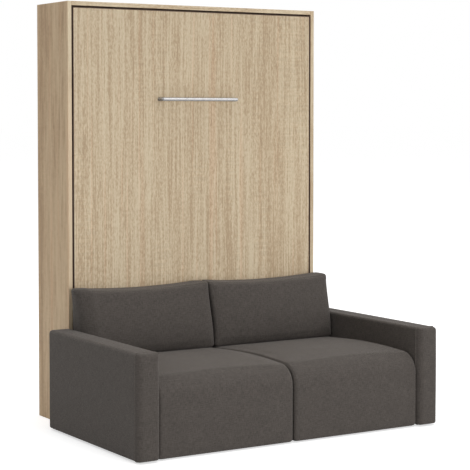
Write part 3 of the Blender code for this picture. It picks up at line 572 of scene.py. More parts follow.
def figured_finish(name, specular=USUAL_SPECULAR):
    """Board, edge band or plastic whose colour, roughness and relief all follow one figure."""
    finish = Finish(name)
    figure = finish.figure(name, finish.place())
    finish.coat(name, finish.ramp(figure, TONES[name]), figure, figure)
    finish.surface("Specular IOR Level", specular)
    return finish.material


PLY_RATE = 4200.0
PLY_RANGE = (-0.2, 0.4)
PLY_TONE = (0.42, 0.28, 0.16)
PLY_STRENGTH = 0.45
CUT_EDGE_RANGE = (0.7, 0.3)


def birch_finish(name):
    """Lacquered birch plywood with its plies on the edges."""
    finish = Finish(name)
    place = finish.place()
    figure = finish.figure(name, place)
    plies = finish.maths("SINE", finish.maths("MULTIPLY", finish.split(place)["Y"], PLY_RATE))
    edge = finish.spread(finish.maths("ABSOLUTE", finish.facing()["Y"]), *CUT_EDGE_RANGE)
    dark = finish.maths("MULTIPLY", finish.spread(plies, *PLY_RANGE), edge)
    dark = finish.maths("MULTIPLY", dark, PLY_STRENGTH)
    finish.coat(name, finish.blend(dark, finish.ramp(figure, TONES[name]), PLY_TONE), figure, figure)
    return finish.material


# Painted shade on the bar where it turns away from its bright front: axis, start and end of the turn, strength
BAR_SHADE_TURNS = (
    ("X", 0.4, 0.7, 0.75), ("X", -0.4, -0.7, 0.75), ("Z", 0.46, 0.70, 1.0), ("Z", -0.14, -0.34, 1.0),
)
BAR_SHADE = (0.36, 0.365, 0.375)
BAR_METAL = 0.45
BAR_CLOUDING = 0.06


def brushed_finish(name):
    """Brushed aluminium with fine lines along the bar, and painted shade above, below and at the ends of its
    bright front.
    """
    finish = Finish(name)
    place = finish.place()
    lines = finish.figure("bar_lines", place)
    tone = finish.ramp(lines, TONES[name])
    facing = finish.facing()
    # Painted shade: the bar's colour is darkened where it faces up, down or sideways.
    for axis, start, end, most in BAR_SHADE_TURNS:
        turned = finish.spread(facing[axis], start, end, 0.0, most)
        tone = finish.blend(turned, tone, BAR_SHADE, "MULTIPLY")
    roughness, relief = SURFACES[name]
    brushed = finish.spread(lines, *USUAL_RANGE, *roughness)
    clouds = finish.spread(finish.figure("bar_clouds", place), *USUAL_RANGE, 0.0, BAR_CLOUDING)
    finish.surface("Base Color", tone)
    finish.surface("Roughness", finish.maths("ADD", brushed, clouds))
    finish.surface("Metallic", BAR_METAL)
    finish.bump(lines, *relief)
    return finish.material


def powder_coat_finish(name):
    """Black powder coat with its fine orange-peel texture."""
    finish = Finish(name)
    place = finish.place()
    dust = finish.figure("coat_dust", place)
    finish.coat(name, finish.ramp(dust, TONES[name]), dust, finish.figure("coat_peel", place))
    return finish.material


SPANGLE_RATE = 220.0


def zinc_finish(name):
    """Zinc-plated steel with a faint spangle and rubbed streaks."""
    finish = Finish(name)
    place = finish.place()
    spangle = finish.add("ShaderNodeTexVoronoi")
    finish.feed(spangle.inputs["Vector"], place)
    spangle.inputs["Scale"].default_value = SPANGLE_RATE
    streaks = finish.figure("zinc_streaks", place)
    finish.coat(name, finish.ramp(spangle.outputs["Distance"], TONES[name]), streaks, streaks)
    finish.surface("Metallic", 1.0)
    return finish.material


def woven_height(finish, cloth, thread):
    """Height of a plain weave: a small pillow where each thread passes over, and the parity of its place."""
    threads = finish.split(finish.stretched(cloth, (1 / thread,) * 3))
    parity = None
    height = None
    for axis in ("X", "Y"):
        count = threads[axis]
        pillow = finish.maths("ABSOLUTE", finish.maths("SINE", finish.maths("MULTIPLY", count, math.pi)))
        floor = finish.maths("FLOOR", count)
        height = pillow if height is None else finish.maths("MULTIPLY", height, pillow)
        parity = floor if parity is None else finish.maths("ADD", parity, floor)
    parity = finish.maths("ABSOLUTE", finish.maths("MODULO", parity, 2.0))
    return height, parity


# What each figure adds to the sofa fabric's value, in the order of adding, and the tints of that value
FABRIC_WEIGHTS = {"height": 0.30, "parity": 0.12, "yarn": 0.9, "warp": 1.0, "weft": 1.0, "mottle": 0.40}
FABRIC_TINTS = ((0.1, 0.66), (0.5, 1.0), (0.9, (1.34, 1.33, 1.32)))
FABRIC_ROUGHNESS = (0.86, 0.96)
FABRIC_SPECULAR = 0.22
FABRIC_RELIEF = 0.7
YARN_RELIEF = 0.6
SHEEN_ROUGHNESS = 0.45
SHEEN_TINT = (0.80, 0.76, 0.72, 1)
# Painted highlight: the welts' fabric is paler, for the light that their raised cords catch.
WELT_HIGHLIGHT = 1.35


def sofa_fabric_finish(name, paler=1.0):
    """Dark grey-brown plain weave, slightly mottled, with a soft sheen at grazing angles."""
    look = bpy.context.scene.wall_bed_fabric
    finish = Finish(name)
    cloth = finish.uv()
    figures = {thread: finish.figure(thread, cloth) for thread in ("yarn", "warp", "weft")}
    figures["height"], figures["parity"] = woven_height(finish, cloth, look.thread)
    figures["mottle"] = finish.figure("mottle", finish.place())
    mixed = MIDDLE
    for figure, weight in FABRIC_WEIGHTS.items():
        mixed = finish.weigh(figures[figure], weight, mixed)
    # A factor above one pales the fabric as a painted highlight, as on the welts.
    finish.surface("Base Color", finish.ramp(mixed, tinted(shade(look.tone, paler), FABRIC_TINTS)))
    finish.surface("Roughness", finish.spread(figures["yarn"], *USUAL_RANGE, *FABRIC_ROUGHNESS))
    finish.surface("Specular IOR Level", FABRIC_SPECULAR)
    finish.surface("Sheen Weight", look.sheen)
    finish.surface("Sheen Roughness", SHEEN_ROUGHNESS)
    finish.surface("Sheen Tint", SHEEN_TINT)
    height = finish.maths("MULTIPLY_ADD", figures["yarn"], YARN_RELIEF, figures["height"])
    finish.bump(height, look.thread_height, FABRIC_RELIEF)
    return finish.material


LOOP_SIZE = 0.0021
LOOP_STRETCH = (1.0, 0.6, 1.0)
CLOUD_WEIGHT = 0.6
LOOP_WEIGHT = 0.25
PARITY_WEIGHT = 0.05
TICKING_TINTS = ((0.15, 0.88), (0.6, 1.0), (0.9, 1.04))
TICKING_SHEEN = 0.15


def ticking_finish(name, tone):
    """Knitted mattress cover: small rows of loops, slightly uneven."""
    finish = Finish(name)
    loops, parity = woven_height(finish, finish.stretched(finish.uv(), LOOP_STRETCH), LOOP_SIZE)
    cloud = finish.figure("ticking_cloud", finish.place())
    mixed = 0.0
    for figure, weight in ((cloud, CLOUD_WEIGHT), (loops, LOOP_WEIGHT), (parity, PARITY_WEIGHT)):
        mixed = finish.maths("MULTIPLY_ADD", figure, weight, mixed)
    finish.coat("ticking", finish.ramp(mixed, tinted(tone, TICKING_TINTS)), cloud, loops)
    finish.surface("Sheen Weight", TICKING_SHEEN)
    return finish.material


# Meshes of the new pieces

MERGE_DISTANCE = 0.00002
SHARP_ANGLE = math.radians(60)
PAD_LEVELS = 1


def tidy_mesh(solid):
    """Merge what lies together and point all faces outwards."""
    bmesh.ops.remove_doubles(solid, verts=solid.verts, dist=MERGE_DISTANCE)
    bmesh.ops.recalc_face_normals(solid, faces=solid.faces)


def wrap_uv(mesh):
    """A UV map in metres: each face is laid flat on the plane that it faces most."""
    layer = mesh.uv_layers.new(name="cloth")
    for polygon in mesh.polygons:
        normal = [abs(part) for part in polygon.normal]
        facing = normal.index(max(normal))
        first, second = [axis for axis in range(3) if axis != facing]
        for loop in polygon.loop_indices:
            point = mesh.vertices[mesh.loops[loop].vertex_index].co
            layer.data[loop].uv = (point[first], point[second])


def new_piece(name, solid, materials, smooth=True):
    """Turn a bmesh in frame coordinates into an object at the origin."""
    mesh = bpy.data.meshes.new(name)
    solid.to_mesh(mesh)
    solid.free()
    if smooth:
        mesh.shade_smooth()
    for material in materials:
        mesh.materials.append(material)
    piece = bpy.data.objects.new(name, mesh)
    bpy.context.scene.collection.objects.link(piece)
    return piece


def applied(piece):
    """Replace a piece's mesh by what its modifiers make of it."""
    graph = bpy.context.evaluated_depsgraph_get()
    finished = bpy.data.meshes.new_from_object(piece.evaluated_get(graph))
    worn = piece.data
    piece.modifiers.clear()
    piece.data = finished
    bpy.data.meshes.remove(worn)
    return piece


CLOTH_FRAMES = 20
CLOTH_PRESSURE = 4.0
EVENING_PASSES = 3


def evened(mesh, values):
    """Values of a mesh's points, each averaged a few times with those of its neighbours."""
    for _ in range(EVENING_PASSES):
        sums = values[:]
        counts = [1] * len(values)
        for edge in mesh.edges:
            first, second = edge.vertices
            sums[first] += values[second]
            sums[second] += values[first]
            counts[first] += 1
            counts[second] += 1
        values = [total / count for total, count in zip(sums, counts)]
    return values


def swell_cover(piece, cap, keep_inside):
    """Let a pad's cover swell under pressure, and keep how far each point moved outwards, up to a cap."""
    before = [(vertex.co.copy(), vertex.normal.copy()) for vertex in piece.data.vertices]
    rises = [0.0] * len(before)
    scene = bpy.context.scene
    modifier = piece.modifiers.new("cover", "CLOTH")
    modifier.settings.use_pressure = True
    modifier.settings.uniform_pressure_force = CLOTH_PRESSURE
    modifier.settings.effector_weights.gravity = 0
    modifier.point_cache.frame_start = 1
    modifier.point_cache.frame_end = CLOTH_FRAMES
    for number in range(1, CLOTH_FRAMES + 1):
        scene.frame_set(number)
    applied(piece)
    scene.frame_set(1)
    for number, (vertex, (start, normal)) in enumerate(zip(piece.data.vertices, before)):
        rises[number] = min(cap, max(0.0, (vertex.co - start).dot(normal)))
    rises = evened(piece.data, rises)
    for vertex, (start, normal), rise in zip(piece.data.vertices, before, rises):
        vertex.co = keep_inside(start + normal * rise)


def finish_pad(piece, node):
    """The last steps of a pad of the sofa: its UV map, one subdivision, its body and node."""
    wrap_uv(piece.data)
    piece.data.shade_smooth()
    modifier = piece.modifiers.new("softened", "SUBSURF")
    modifier.levels = PAD_LEVELS
    modifier.render_levels = PAD_LEVELS
    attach(piece, BODY_OF_NODE[node])
    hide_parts(node)


def box_solid(low, high):
    """A box between two corners."""
    solid = bmesh.new()
    bmesh.ops.create_cube(solid, size=1)
    bmesh.ops.scale(solid, vec=high - low, verts=solid.verts)
    bmesh.ops.translate(solid, vec=(low + high) / 2, verts=solid.verts)
    return solid


def round_edges(solid, edges, radius, steps):
    """Round the given edges."""
    bmesh.ops.bevel(
        solid, geom=edges, offset=radius, offset_type="OFFSET", segments=steps, profile=0.5,
        affect="EDGES", clamp_overlap=True, material=-1,
    )


def slice_grid(solid, low, high, pitch, axes=(0, 1, 2)):
    """Cut a solid into a grid of about the given pitch, so that it can be shaped."""
    for axis in axes:
        normal = Vector((0, 0, 0))
        normal[axis] = 1
        count = max(2, round((high[axis] - low[axis]) / pitch))
        for number in range(1, count):
            where = low[axis] + (high[axis] - low[axis]) * number / count
            everything = solid.verts[:] + solid.edges[:] + solid.faces[:]
            bmesh.ops.bisect_plane(solid, geom=everything, plane_co=normal * where, plane_no=normal)


def swell(along):
    """One in the middle of a side and zero at its ends."""
    return max(0.0, 1 - along * along)


def push_out(solid, low, high, amount):
    """Move each point by what the amount function gives for its share of the box and its normal."""
    solid.normal_update()
    middle = (low + high) / 2
    half = (high - low) / 2
    moves = []
    for vertex in solid.verts:
        offset = vertex.co - middle
        at = Vector([offset[axis] / half[axis] for axis in range(3)])
        moves.append((vertex, amount(at, vertex.normal.copy())))
    for vertex, move in moves:
        vertex.co += move


def sharp_edges(solid):
    """Edges between faces that meet at a clear angle."""
    return [edge for edge in solid.edges if edge.calc_face_angle(0) > SHARP_ANGLE]


# Upholstery

PAD_GRID = 0.022
COVER_GRID = 0.012
SKIN_GAP = 0.0006
UNDER_CUSHION_REACH = 0.010
SEAT_FRONT_STEPS = 10
SEAT_EDGE_STEPS = 4
CUSHION_FRONT_STEPS = 8
CUSHION_BACK_STEPS = 6
CUSHION_EDGE_STEPS = 5
CUSHION_PULL_POWER = 8
ARM_STEPS = 6
ARM_EVEN_SHARE = 0.6
ARM_SWOLLEN_SHARE = 0.4


def build_seat(side, material):
    """A seat upholstered in one piece over its top and front, crowned and soft at its edges."""
    look = bpy.context.scene.wall_bed_seat
    node = "seat_" + side
    low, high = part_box(node)
    cushion_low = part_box("back_cushion_" + side)[0]
    flat_line = cushion_low.y
    top = cushion_low.z - SKIN_GAP
    start_low = low + Vector((0, look.front_fullness - look.overhang, -look.drop))
    start_high = Vector((high.x, high.y, top))
    solid = box_solid(start_low, start_high)
    front = [
        edge for edge in solid.edges
        if all(v.co.z > top - SKIN_GAP and v.co.y < start_low.y + SKIN_GAP for v in edge.verts)
    ]
    round_edges(solid, front, look.front_radius, SEAT_FRONT_STEPS)
    round_edges(solid, sharp_edges(solid), look.edge_radius, SEAT_EDGE_STEPS)
    slice_grid(solid, start_low, start_high, COVER_GRID)
    front_share = 2 * (flat_line - start_low.y) / (start_high.y - start_low.y) - 1

    def shape(at, normal):
        forward = max(0.0, min(1.0, (front_share - at.y) / (front_share + 1)))
        rise = math.sin(math.pi * forward) * (1 + swell(at.x)) / 2
        bulge = -look.front_fullness * swell(at.x) * swell(at.z) * max(0.0, -normal.y)
        return Vector((0, bulge, look.crown * rise * max(0.0, normal.z)))

    def keep_inside(point):
        under_cushion = min(1.0, max(0.0, (point.y - flat_line) / UNDER_CUSHION_REACH))
        ceiling = high.z + look.swell_cap + (top - high.z - look.swell_cap) * under_cushion
        return Vector((
            min(max(point.x, low.x), high.x),
            min(max(point.y, low.y - look.overhang - look.swell_cap), high.y),
            min(max(point.z, start_low.z), ceiling),
        ))

    push_out(solid, start_low, start_high, shape)
    tidy_mesh(solid)
    piece = new_piece("upholstery_" + node, solid, [material])
    swell_cover(piece, look.swell_cap, keep_inside)
    finish_pad(piece, node)


def build_back_cushion(side, sign, material):
    """A loose wedge cushion with eared corners, slightly drawn-in sides and a crowned front."""
    look = bpy.context.scene.wall_bed_cushion
    node = "back_cushion_" + side
    low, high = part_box(node)
    arm_low, arm_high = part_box("arm_" + side)
    arm_inner = min(abs(arm_low.x), abs(arm_high.x)) - SKIN_GAP
    near, far = (low.x, high.x) if sign > 0 else (high.x, low.x)
    far -= look.flare * sign
    start_low = Vector((min(near, far), high.y - look.bottom_thickness, low.z))
    start_high = Vector((max(near, far), high.y, high.z - look.ear))
    middle = (start_low + start_high) / 2
    solid = box_solid(start_low, start_high)
    for vertex in solid.verts:
        if vertex.co.z < middle.z:
            continue
        if vertex.co.y < middle.y:
            vertex.co.y += look.bottom_thickness - look.top_thickness
        if vertex.co.x * sign > middle.x * sign:
            vertex.co.x += look.flare * sign

    def upright_edges(at_front, at_left):
        return [
            edge for edge in solid.edges
            if abs(edge.verts[0].co.z - edge.verts[1].co.z) > (high.z - low.z) / 2
            and all((vertex.co.y < middle.y) == at_front for vertex in edge.verts)
            and all((vertex.co.x < middle.x) == at_left for vertex in edge.verts)
        ]

    for at_left in (False, True):
        front_radius = look.end_radius if at_left and sign < 0 else look.front_radius
        round_edges(solid, upright_edges(True, at_left), front_radius, CUSHION_FRONT_STEPS)
        round_edges(solid, upright_edges(False, at_left), look.back_radius, CUSHION_BACK_STEPS)
    round_edges(solid, sharp_edges(solid), look.edge_radius, CUSHION_EDGE_STEPS)
    slice_grid(solid, start_low, start_high, COVER_GRID)

    def shape(at, normal):
        forward = -look.crown * swell(at.x) * swell(at.z) * max(0.0, -normal.y)
        forward += look.tuck * max(0.0, -at.z) ** 2 * max(0.0, -at.y)
        ears = max(0.0, normal.z) * (look.ear / 2 - look.top_sag * swell(at.x))
        sideways = -look.side_draw * swell(at.z) * normal.x * abs(normal.x)
        pull = look.corner_pull * (abs(at.x) * max(0.0, at.z)) ** CUSHION_PULL_POWER
        return Vector((sideways + math.copysign(pull, at.x), forward, ears))

    def keep_inside(point):
        reach = far * sign + (look.flare + look.corner_pull) * (point.z - low.z) / (high.z - low.z)
        if point.z < arm_high.z:
            reach = min(reach, arm_inner)
        across = min(max(point.x * sign, near * sign), reach) * sign
        return Vector((across, min(point.y, high.y), max(point.z, low.z)))

    push_out(solid, start_low, start_high, shape)
    tidy_mesh(solid)
    piece = new_piece("upholstery_" + node, solid, [material])
    swell_cover(piece, look.swell_cap, keep_inside)
    finish_pad(piece, node)


def build_arm(side, sign, material, welt_material):
    """A slab arm with soft outer edges, tighter inner ones and slightly full faces."""
    look = bpy.context.scene.wall_bed_arm
    node = "arm_" + side
    low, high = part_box(node)
    low -= Vector((0, look.overhang, look.drop))
    solid = box_solid(low, high)
    inner = low.x if sign > 0 else high.x
    weights = solid.edges.layers.float.new("bevel_weight_edge")
    for edge in solid.edges:
        ends = [vertex.co for vertex in edge.verts]
        upright = abs(ends[0].z - ends[1].z) > look.outer_radius
        at_inner = all(abs(end.x - inner) < SKIN_GAP for end in ends)
        at_floor = all(end.z < low.z + SKIN_GAP for end in ends)
        at_back = all(end.y > high.y - SKIN_GAP for end in ends)
        at_left = all(abs(end.x - low.x) < SKIN_GAP for end in ends)
        radius = look.outer_radius
        if at_floor or at_back or (at_inner and not upright):
            radius = look.inner_radius
        elif upright and at_left:
            radius = look.soft_radius
        edge[weights] = radius / look.soft_radius
    piece = new_piece("upholstery_" + node, solid, [material])
    modifier = piece.modifiers.new("edges", "BEVEL")
    modifier.limit_method = "WEIGHT"
    modifier.width = look.soft_radius
    modifier.segments = ARM_STEPS
    modifier.profile = 0.5
    applied(piece)
    shaped = bmesh.new()
    shaped.from_mesh(piece.data)
    slice_grid(shaped, low, high, PAD_GRID)

    def part(swollen):
        return ARM_EVEN_SHARE + ARM_SWOLLEN_SHARE * swollen

    def fullness(at, normal):
        outward = max(0.0, normal.x * sign) * part(swell(at.y) * swell(at.z)) * sign
        forward = -max(0.0, -normal.y) * part(swell(at.z)) * look.front_fullness
        upward = max(0.0, normal.z) * ARM_SWOLLEN_SHARE * swell(at.y) * look.fullness
        return Vector((outward * look.fullness, forward, upward))

    push_out(shaped, low, high, fullness)
    tidy_mesh(shaped)
    shaped.to_mesh(piece.data)
    shaped.free()
    finish_pad(piece, node)
    outer = Vector((look.fullness * ARM_EVEN_SHARE * sign, 0, 0))
    loop = (low, high + outer) if sign > 0 else (low + outer, high)
    seam_y = low.y + look.soft_radius
    welt = build_piping("welt_" + node, node, seam_y, loop, look.inner_radius, look.welt, welt_material)


# Painted gap shade and screws

SHADE_STRIP_THICK = 0.0006
SHADE_STRIP_DEPTH = 0.015
SHADE_STRIP_SETBACK = 0.0008
SHADE_STRIP_WRAP = 0.0038
FIT = 0.0003
PLATE_THICK = 0.004
BED_PLATE_THICK = 0.006
WALL_BRACKET_THICK = 0.003
WALL_BOLT_DROP = 0.030
WALL_BOLT_RADIUS = 0.008
SCREW_RADIUS = 0.0042
SCREW_HEIGHT = 0.0012
SCREW_MARGIN = 0.010
SCREW_SIDES = 16
HEAD_TOP_SHARE = 0.8
HOLLOW_RIM_SHARE = 0.4
HOLLOW_DEPTH_SHARE = 0.7


def build_shade_strip(name, node, low, high, material):
    """A thin straight strip that rides with a node's body."""
    piece = new_piece(name, box_solid(low, high), [material], smooth=False)
    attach(piece, BODY_OF_NODE[node])


def shade_reveal(material):
    """Dark strips of painted shade on the bed panel's edges and on the cabinet round it, so that the gap reads
    as a shadow.
    """
    thick = SHADE_STRIP_THICK
    low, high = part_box("bed_panel")
    top = Vector((high.x, high.y, high.z + thick))
    build_shade_strip("panel_shade_strip_top", "bed_panel", Vector((low.x, low.y, high.z)), top, material)
    start = Vector((low.x, low.y - thick, high.z - SHADE_STRIP_WRAP))
    end = Vector((high.x, low.y, high.z + thick))
    build_shade_strip("panel_rim_shade_top", "bed_panel", start, end, material)
    for side, sign in SIDES:
        edge = high.x * sign
        ends = sorted((edge, edge + thick * sign))
        start, end = Vector((ends[0], low.y, low.z)), Vector((ends[1], high.y, high.z))
        build_shade_strip("panel_shade_strip_" + side, "bed_panel", start, end, material)
        ends = sorted((edge - SHADE_STRIP_WRAP * sign, edge + thick * sign))
        start = Vector((ends[0], low.y - thick, low.z))
        end = Vector((ends[1], low.y, high.z - SHADE_STRIP_WRAP))
        build_shade_strip("panel_rim_shade_" + side, "bed_panel", start, end, material)
        node = "side_panel_" + side
        board_low, board_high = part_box(node)
        face = min(abs(board_low.x), abs(board_high.x)) * sign
        ends = sorted((face, face - thick * sign))
        start = Vector((ends[0], board_low.y + SHADE_STRIP_SETBACK, low.z))
        end = Vector((ends[1], board_low.y + SHADE_STRIP_DEPTH, high.z))
        build_shade_strip("cabinet_shade_strip_" + side, node, start, end, material)
    board_low, board_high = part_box("top_panel")
    start = Vector((board_low.x, board_low.y + SHADE_STRIP_SETBACK, board_low.z - thick))
    end = Vector((board_high.x, board_low.y + SHADE_STRIP_DEPTH, board_low.z))
    build_shade_strip("cabinet_shade_strip_top", "top_panel", start, end, material)


def plate_corners(face_x, low, high):
    """The four places of a plate's screws, a margin in from its corners."""
    return [
        Vector((face_x, y, z))
        for y in (low.y + SCREW_MARGIN, high.y - SCREW_MARGIN)
        for z in (low.z + SCREW_MARGIN, high.z - SCREW_MARGIN)
    ]


def add_screws(heads, facing, places, radius):
    """Add low round heads with a hollow middle, seated on a face that looks along an axis."""
    turn = Vector((0, 0, 1)).rotation_difference(facing).to_matrix().to_4x4()
    for place in places:
        start = len(heads.verts)
        ring = bmesh.ops.create_cone(
            heads, cap_ends=True, segments=SCREW_SIDES, radius1=radius, radius2=radius * HEAD_TOP_SHARE,
            depth=SCREW_HEIGHT,
        )["verts"]
        upper = next(vertex for vertex in ring if vertex.co.z > 0)
        cap = max(upper.link_faces, key=lambda face: len(face.verts))
        bmesh.ops.inset_individual(heads, faces=[cap], thickness=radius * HOLLOW_RIM_SHARE)
        bmesh.ops.translate(heads, vec=(0, 0, -SCREW_HEIGHT * HOLLOW_DEPTH_SHARE), verts=cap.verts)
        heads.verts.ensure_lookup_table()
        seat = Matrix.Translation(place + facing * SCREW_HEIGHT / 2)
        bmesh.ops.transform(heads, matrix=seat @ turn, verts=heads.verts[start:])


def build_screws(material):
    """Screws in the plates of the cabinet and of the bed, merged into one piece for each."""
    cabinet = bmesh.new()
    bed = bmesh.new()
    for side, sign in SIDES:
        inward, outward = Vector((-sign, 0, 0)), Vector((sign, 0, 0))
        inner_face = min(abs(corner.x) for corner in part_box("side_panel_" + side)) - PLATE_THICK
        for node in ("pivot_plate_", "strut_bracket_"):
            add_screws(cabinet, inward, plate_corners(inner_face * sign, *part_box(node + side)), SCREW_RADIUS)
        low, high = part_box("wall_bracket_" + side)
        bolt = Vector(((low.x + high.x) / 2, high.y - WALL_BRACKET_THICK, high.z - WALL_BOLT_DROP))
        add_screws(cabinet, Vector((0, -1, 0)), [bolt], WALL_BOLT_RADIUS)
        rail_low, rail_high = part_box("frame_rail_" + side)
        rail_face = max(abs(rail_low.x), abs(rail_high.x)) + FIT
        for node, thick in (
            ("bed_pivot_plate_", BED_PLATE_THICK), ("bed_strut_bracket_", PLATE_THICK),
            ("leg_bracket_", PLATE_THICK),
        ):
            low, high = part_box(node + side)
            if node == "leg_bracket_":
                high.y = rail_high.y
            add_screws(bed, outward, plate_corners((rail_face + thick) * sign, low, high), SCREW_RADIUS)
    for name, heads, node in (
        ("cabinet_screws", cabinet, "side_panel_left"), ("bed_screws", bed, "bed_panel"),
    ):
        bmesh.ops.recalc_face_normals(heads, faces=heads.faces)
        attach(new_piece(name, heads, [material], smooth=False), BODY_OF_NODE[node])


# Piping and mattress

PIPING_ROUNDNESS = 2
CORNER_STEPS = 6
MATTRESS_CORNER = 0.045
MATTRESS_EDGE = 0.012
MATTRESS_EDGE_STEPS = 2
BORDER_GRID = 0.025
PILLOW_STEEPNESS = 1.6
PILLOW_POWER = 0.7
FLAT_LEAST = 0.5
COVER_LEAST = 0.7


def build_piping(name, node, y, box, corner, radius, material):
    """A closed cord sewn round a padded piece, as a rounded rectangle in an upright plane."""
    low, high = box
    data = bpy.data.curves.new(name, "CURVE")
    data.dimensions = "3D"
    data.bevel_depth = radius
    data.bevel_resolution = PIPING_ROUNDNESS
    middle = (low + high) / 2
    half = (high - low) / 2
    points = []
    for turn, (across, up) in enumerate(((1, 1), (-1, 1), (-1, -1), (1, -1))):
        centre = Vector((middle.x + across * (half.x - corner), y, middle.z + up * (half.z - corner)))
        for step in range(CORNER_STEPS + 1):
            angle = (turn + step / CORNER_STEPS) * math.pi / 2
            points.append(centre + Vector((math.cos(angle), 0, math.sin(angle))) * corner)
    spline = data.splines.new("POLY")
    spline.points.add(len(points) - 1)
    for point, where in zip(spline.points, points):
        point.co = (*where, 1)
    spline.use_cyclic_u = True
    data.materials.append(material)
    piece = bpy.data.objects.new(name, data)
    bpy.context.scene.collection.objects.link(piece)
    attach(piece, BODY_OF_NODE[node])
    return piece


def build_mattress(cover, border):
    """A quilted mattress with a band round its sides and piping along its edges."""
    look = bpy.context.scene.wall_bed_mattress
    low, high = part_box("mattress")
    inset = look.piping
    start_low = low + Vector((inset, 0, inset))
    start_high = high - Vector((inset, 0, inset))
    solid = box_solid(start_low, start_high)
    corners = [
        edge for edge in solid.edges if abs(edge.verts[0].co.y - edge.verts[1].co.y) > MATTRESS_EDGE
    ]
    round_edges(solid, corners, MATTRESS_CORNER, CORNER_STEPS)
    round_edges(solid, sharp_edges(solid), MATTRESS_EDGE, MATTRESS_EDGE_STEPS)
    slice_grid(solid, start_low, start_high, look.grid, (0, 2))
    slice_grid(solid, start_low, start_high, BORDER_GRID, (1,))

    def quilting(at, normal):
        if abs(normal.y) < FLAT_LEAST:
            return Vector((0, 0, 0))
        x = at.x * (start_high.x - start_low.x) / 2
        z = at.z * (start_high.z - start_low.z) / 2
        first = abs(math.sin(math.pi * (x + z) / (2 * look.quilt)))
        second = abs(math.sin(math.pi * (x - z) / (2 * look.quilt)))
        pillow = min(1.0, PILLOW_STEEPNESS * min(first, second) ** PILLOW_POWER)
        return Vector((0, math.copysign(look.quilt_depth * (pillow - 1), normal.y), 0))

    push_out(solid, start_low, start_high, quilting)
    tidy_mesh(solid)
    for face in solid.faces:
        face.material_index = 0 if abs(face.normal.y) > COVER_LEAST else 1
    piece = new_piece("quilted_mattress", solid, [cover, border])
    wrap_uv(piece.data)
    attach(piece, BODY_OF_NODE["mattress"])
    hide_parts("mattress")
    for name, y in (("front", start_low.y + MATTRESS_EDGE), ("back", start_high.y - MATTRESS_EDGE)):
        cord = build_piping(
            "mattress_piping_" + name, "mattress", y, (start_low, start_high), MATTRESS_CORNER, look.piping,
            border,
        )


# Operators


class WALL_BED_OT_finish_boards(bpy.types.Operator):
    """Give the cabinet's boards and the bed's front panel their oak decor."""

    bl_idname = "wall_bed.finish_boards"
    bl_label = "Finish oak boards"

    def execute(self, context):
        upright = ("bed_panel", "side_panel_right", "side_panel_left")
        lying = ("top_panel", "bottom_panel", "lower_front_panel", "back_rail_top", "back_rail_bottom")
        for number, node in enumerate(upright + lying):
            grain_axis = 2 if node in upright else 0
            width = SIDE_WIDTH if node.startswith("side_panel") else 1.0
            repaint(node, oak_finish(node, grain_axis, number, width))
        # Dark strips of painted shade line the gap round the bed panel.
        shade_reveal(figured_finish("painted_gap_shade", SHADE_STRIP_SPECULAR))
        return {"FINISHED"}


class WALL_BED_OT_finish_frame(bpy.types.Operator):
    """Give the bed's rails and slats, and the sofa's hidden boards, their finishes."""

    bl_idname = "wall_bed.finish_frame"
    bl_label = "Finish bed frame and sofa boards"

    def execute(self, context):
        birch = birch_finish("birch_plywood")
        dark = figured_finish("dark_board")
        for node in NODES:
            if node.startswith(("frame_rail", "slat_")):
                repaint(node, birch)
            elif node.startswith(("seat_base", "sofa_back_board")):
                repaint(node, dark)
        return {"FINISHED"}


class WALL_BED_OT_finish_metal(bpy.types.Operator):
    """Give the handle, the fittings, the struts, the leg and the feet their finishes."""

    bl_idname = "wall_bed.finish_metal"
    bl_label = "Finish metal and plastic"

    def execute(self, context):
        coat = powder_coat_finish("black_powder_coat")
        zinc = zinc_finish("zinc_plating")
        plastic = figured_finish("black_plastic")
        build_screws(zinc)
        repaint("handle", brushed_finish("brushed_aluminium"))
        for node in NODES:
            if node.startswith(("wall_bracket", "strut_rod")):
                repaint(node, zinc)
            elif node.startswith(("foot_", "skid_")):
                repaint(node, plastic)
            elif "pivot_plate" in node or "bracket" in node or node.startswith(("strut_cylinder", "leg_")):
                repaint(node, coat)
        return {"FINISHED"}


class WALL_BED_OT_add_upholstery(bpy.types.Operator):
    """Replace the sofa's plain soft solids by upholstered arms, seats and back cushions."""

    bl_idname = "wall_bed.add_upholstery"
    bl_label = "Upholster the sofa"

    def execute(self, context):
        fabric = sofa_fabric_finish("sofa_fabric")
        welt = sofa_fabric_finish("sofa_welt_highlight", WELT_HIGHLIGHT)
        for side, sign in SIDES:
            build_arm(side, sign, fabric, welt)
            build_seat(side, fabric)
            build_back_cushion(side, sign, fabric)
        return {"FINISHED"}


class WALL_BED_OT_add_mattress(bpy.types.Operator):
    """Replace the plain mattress by a quilted one."""

    bl_idname = "wall_bed.add_mattress"
    bl_label = "Make the mattress"

    def execute(self, context):
        look = context.scene.wall_bed_mattress
        cover = ticking_finish("mattress_ticking", tuple(look.tone))
        border = ticking_finish("mattress_border", tuple(look.border_tone))
        build_mattress(cover, border)
        return {"FINISHED"}


class WALL_BED_OT_set_stage(bpy.types.Operator):
    """Set up the floor, the sky, two large lamps and the camera."""

    bl_idname = "wall_bed.set_stage"
    bl_label = "Set the stage"

    def execute(self, context):
        look = context.scene.wall_bed_stage
        build_floor(look)
        build_sky(look)
        build_lamp("top_light", look.top_power, *TOP_LIGHT)
        build_lamp("front_light", look.front_power, *FRONT_LIGHT)
        build_camera(look)
        context.scene.view_settings.view_transform = "Standard"
        return {"FINISHED"}


# Stage

FLOOR_HALF = 120.0
FLOOR_DROP = 0.0005
FLOOR_STOPS = ((0.0, 0.99), (1.0, 1.0))
FLOOR_ROUGHNESS = 0.9
FAR_CLIP = 500
WHITE = (1, 1, 1, 1)

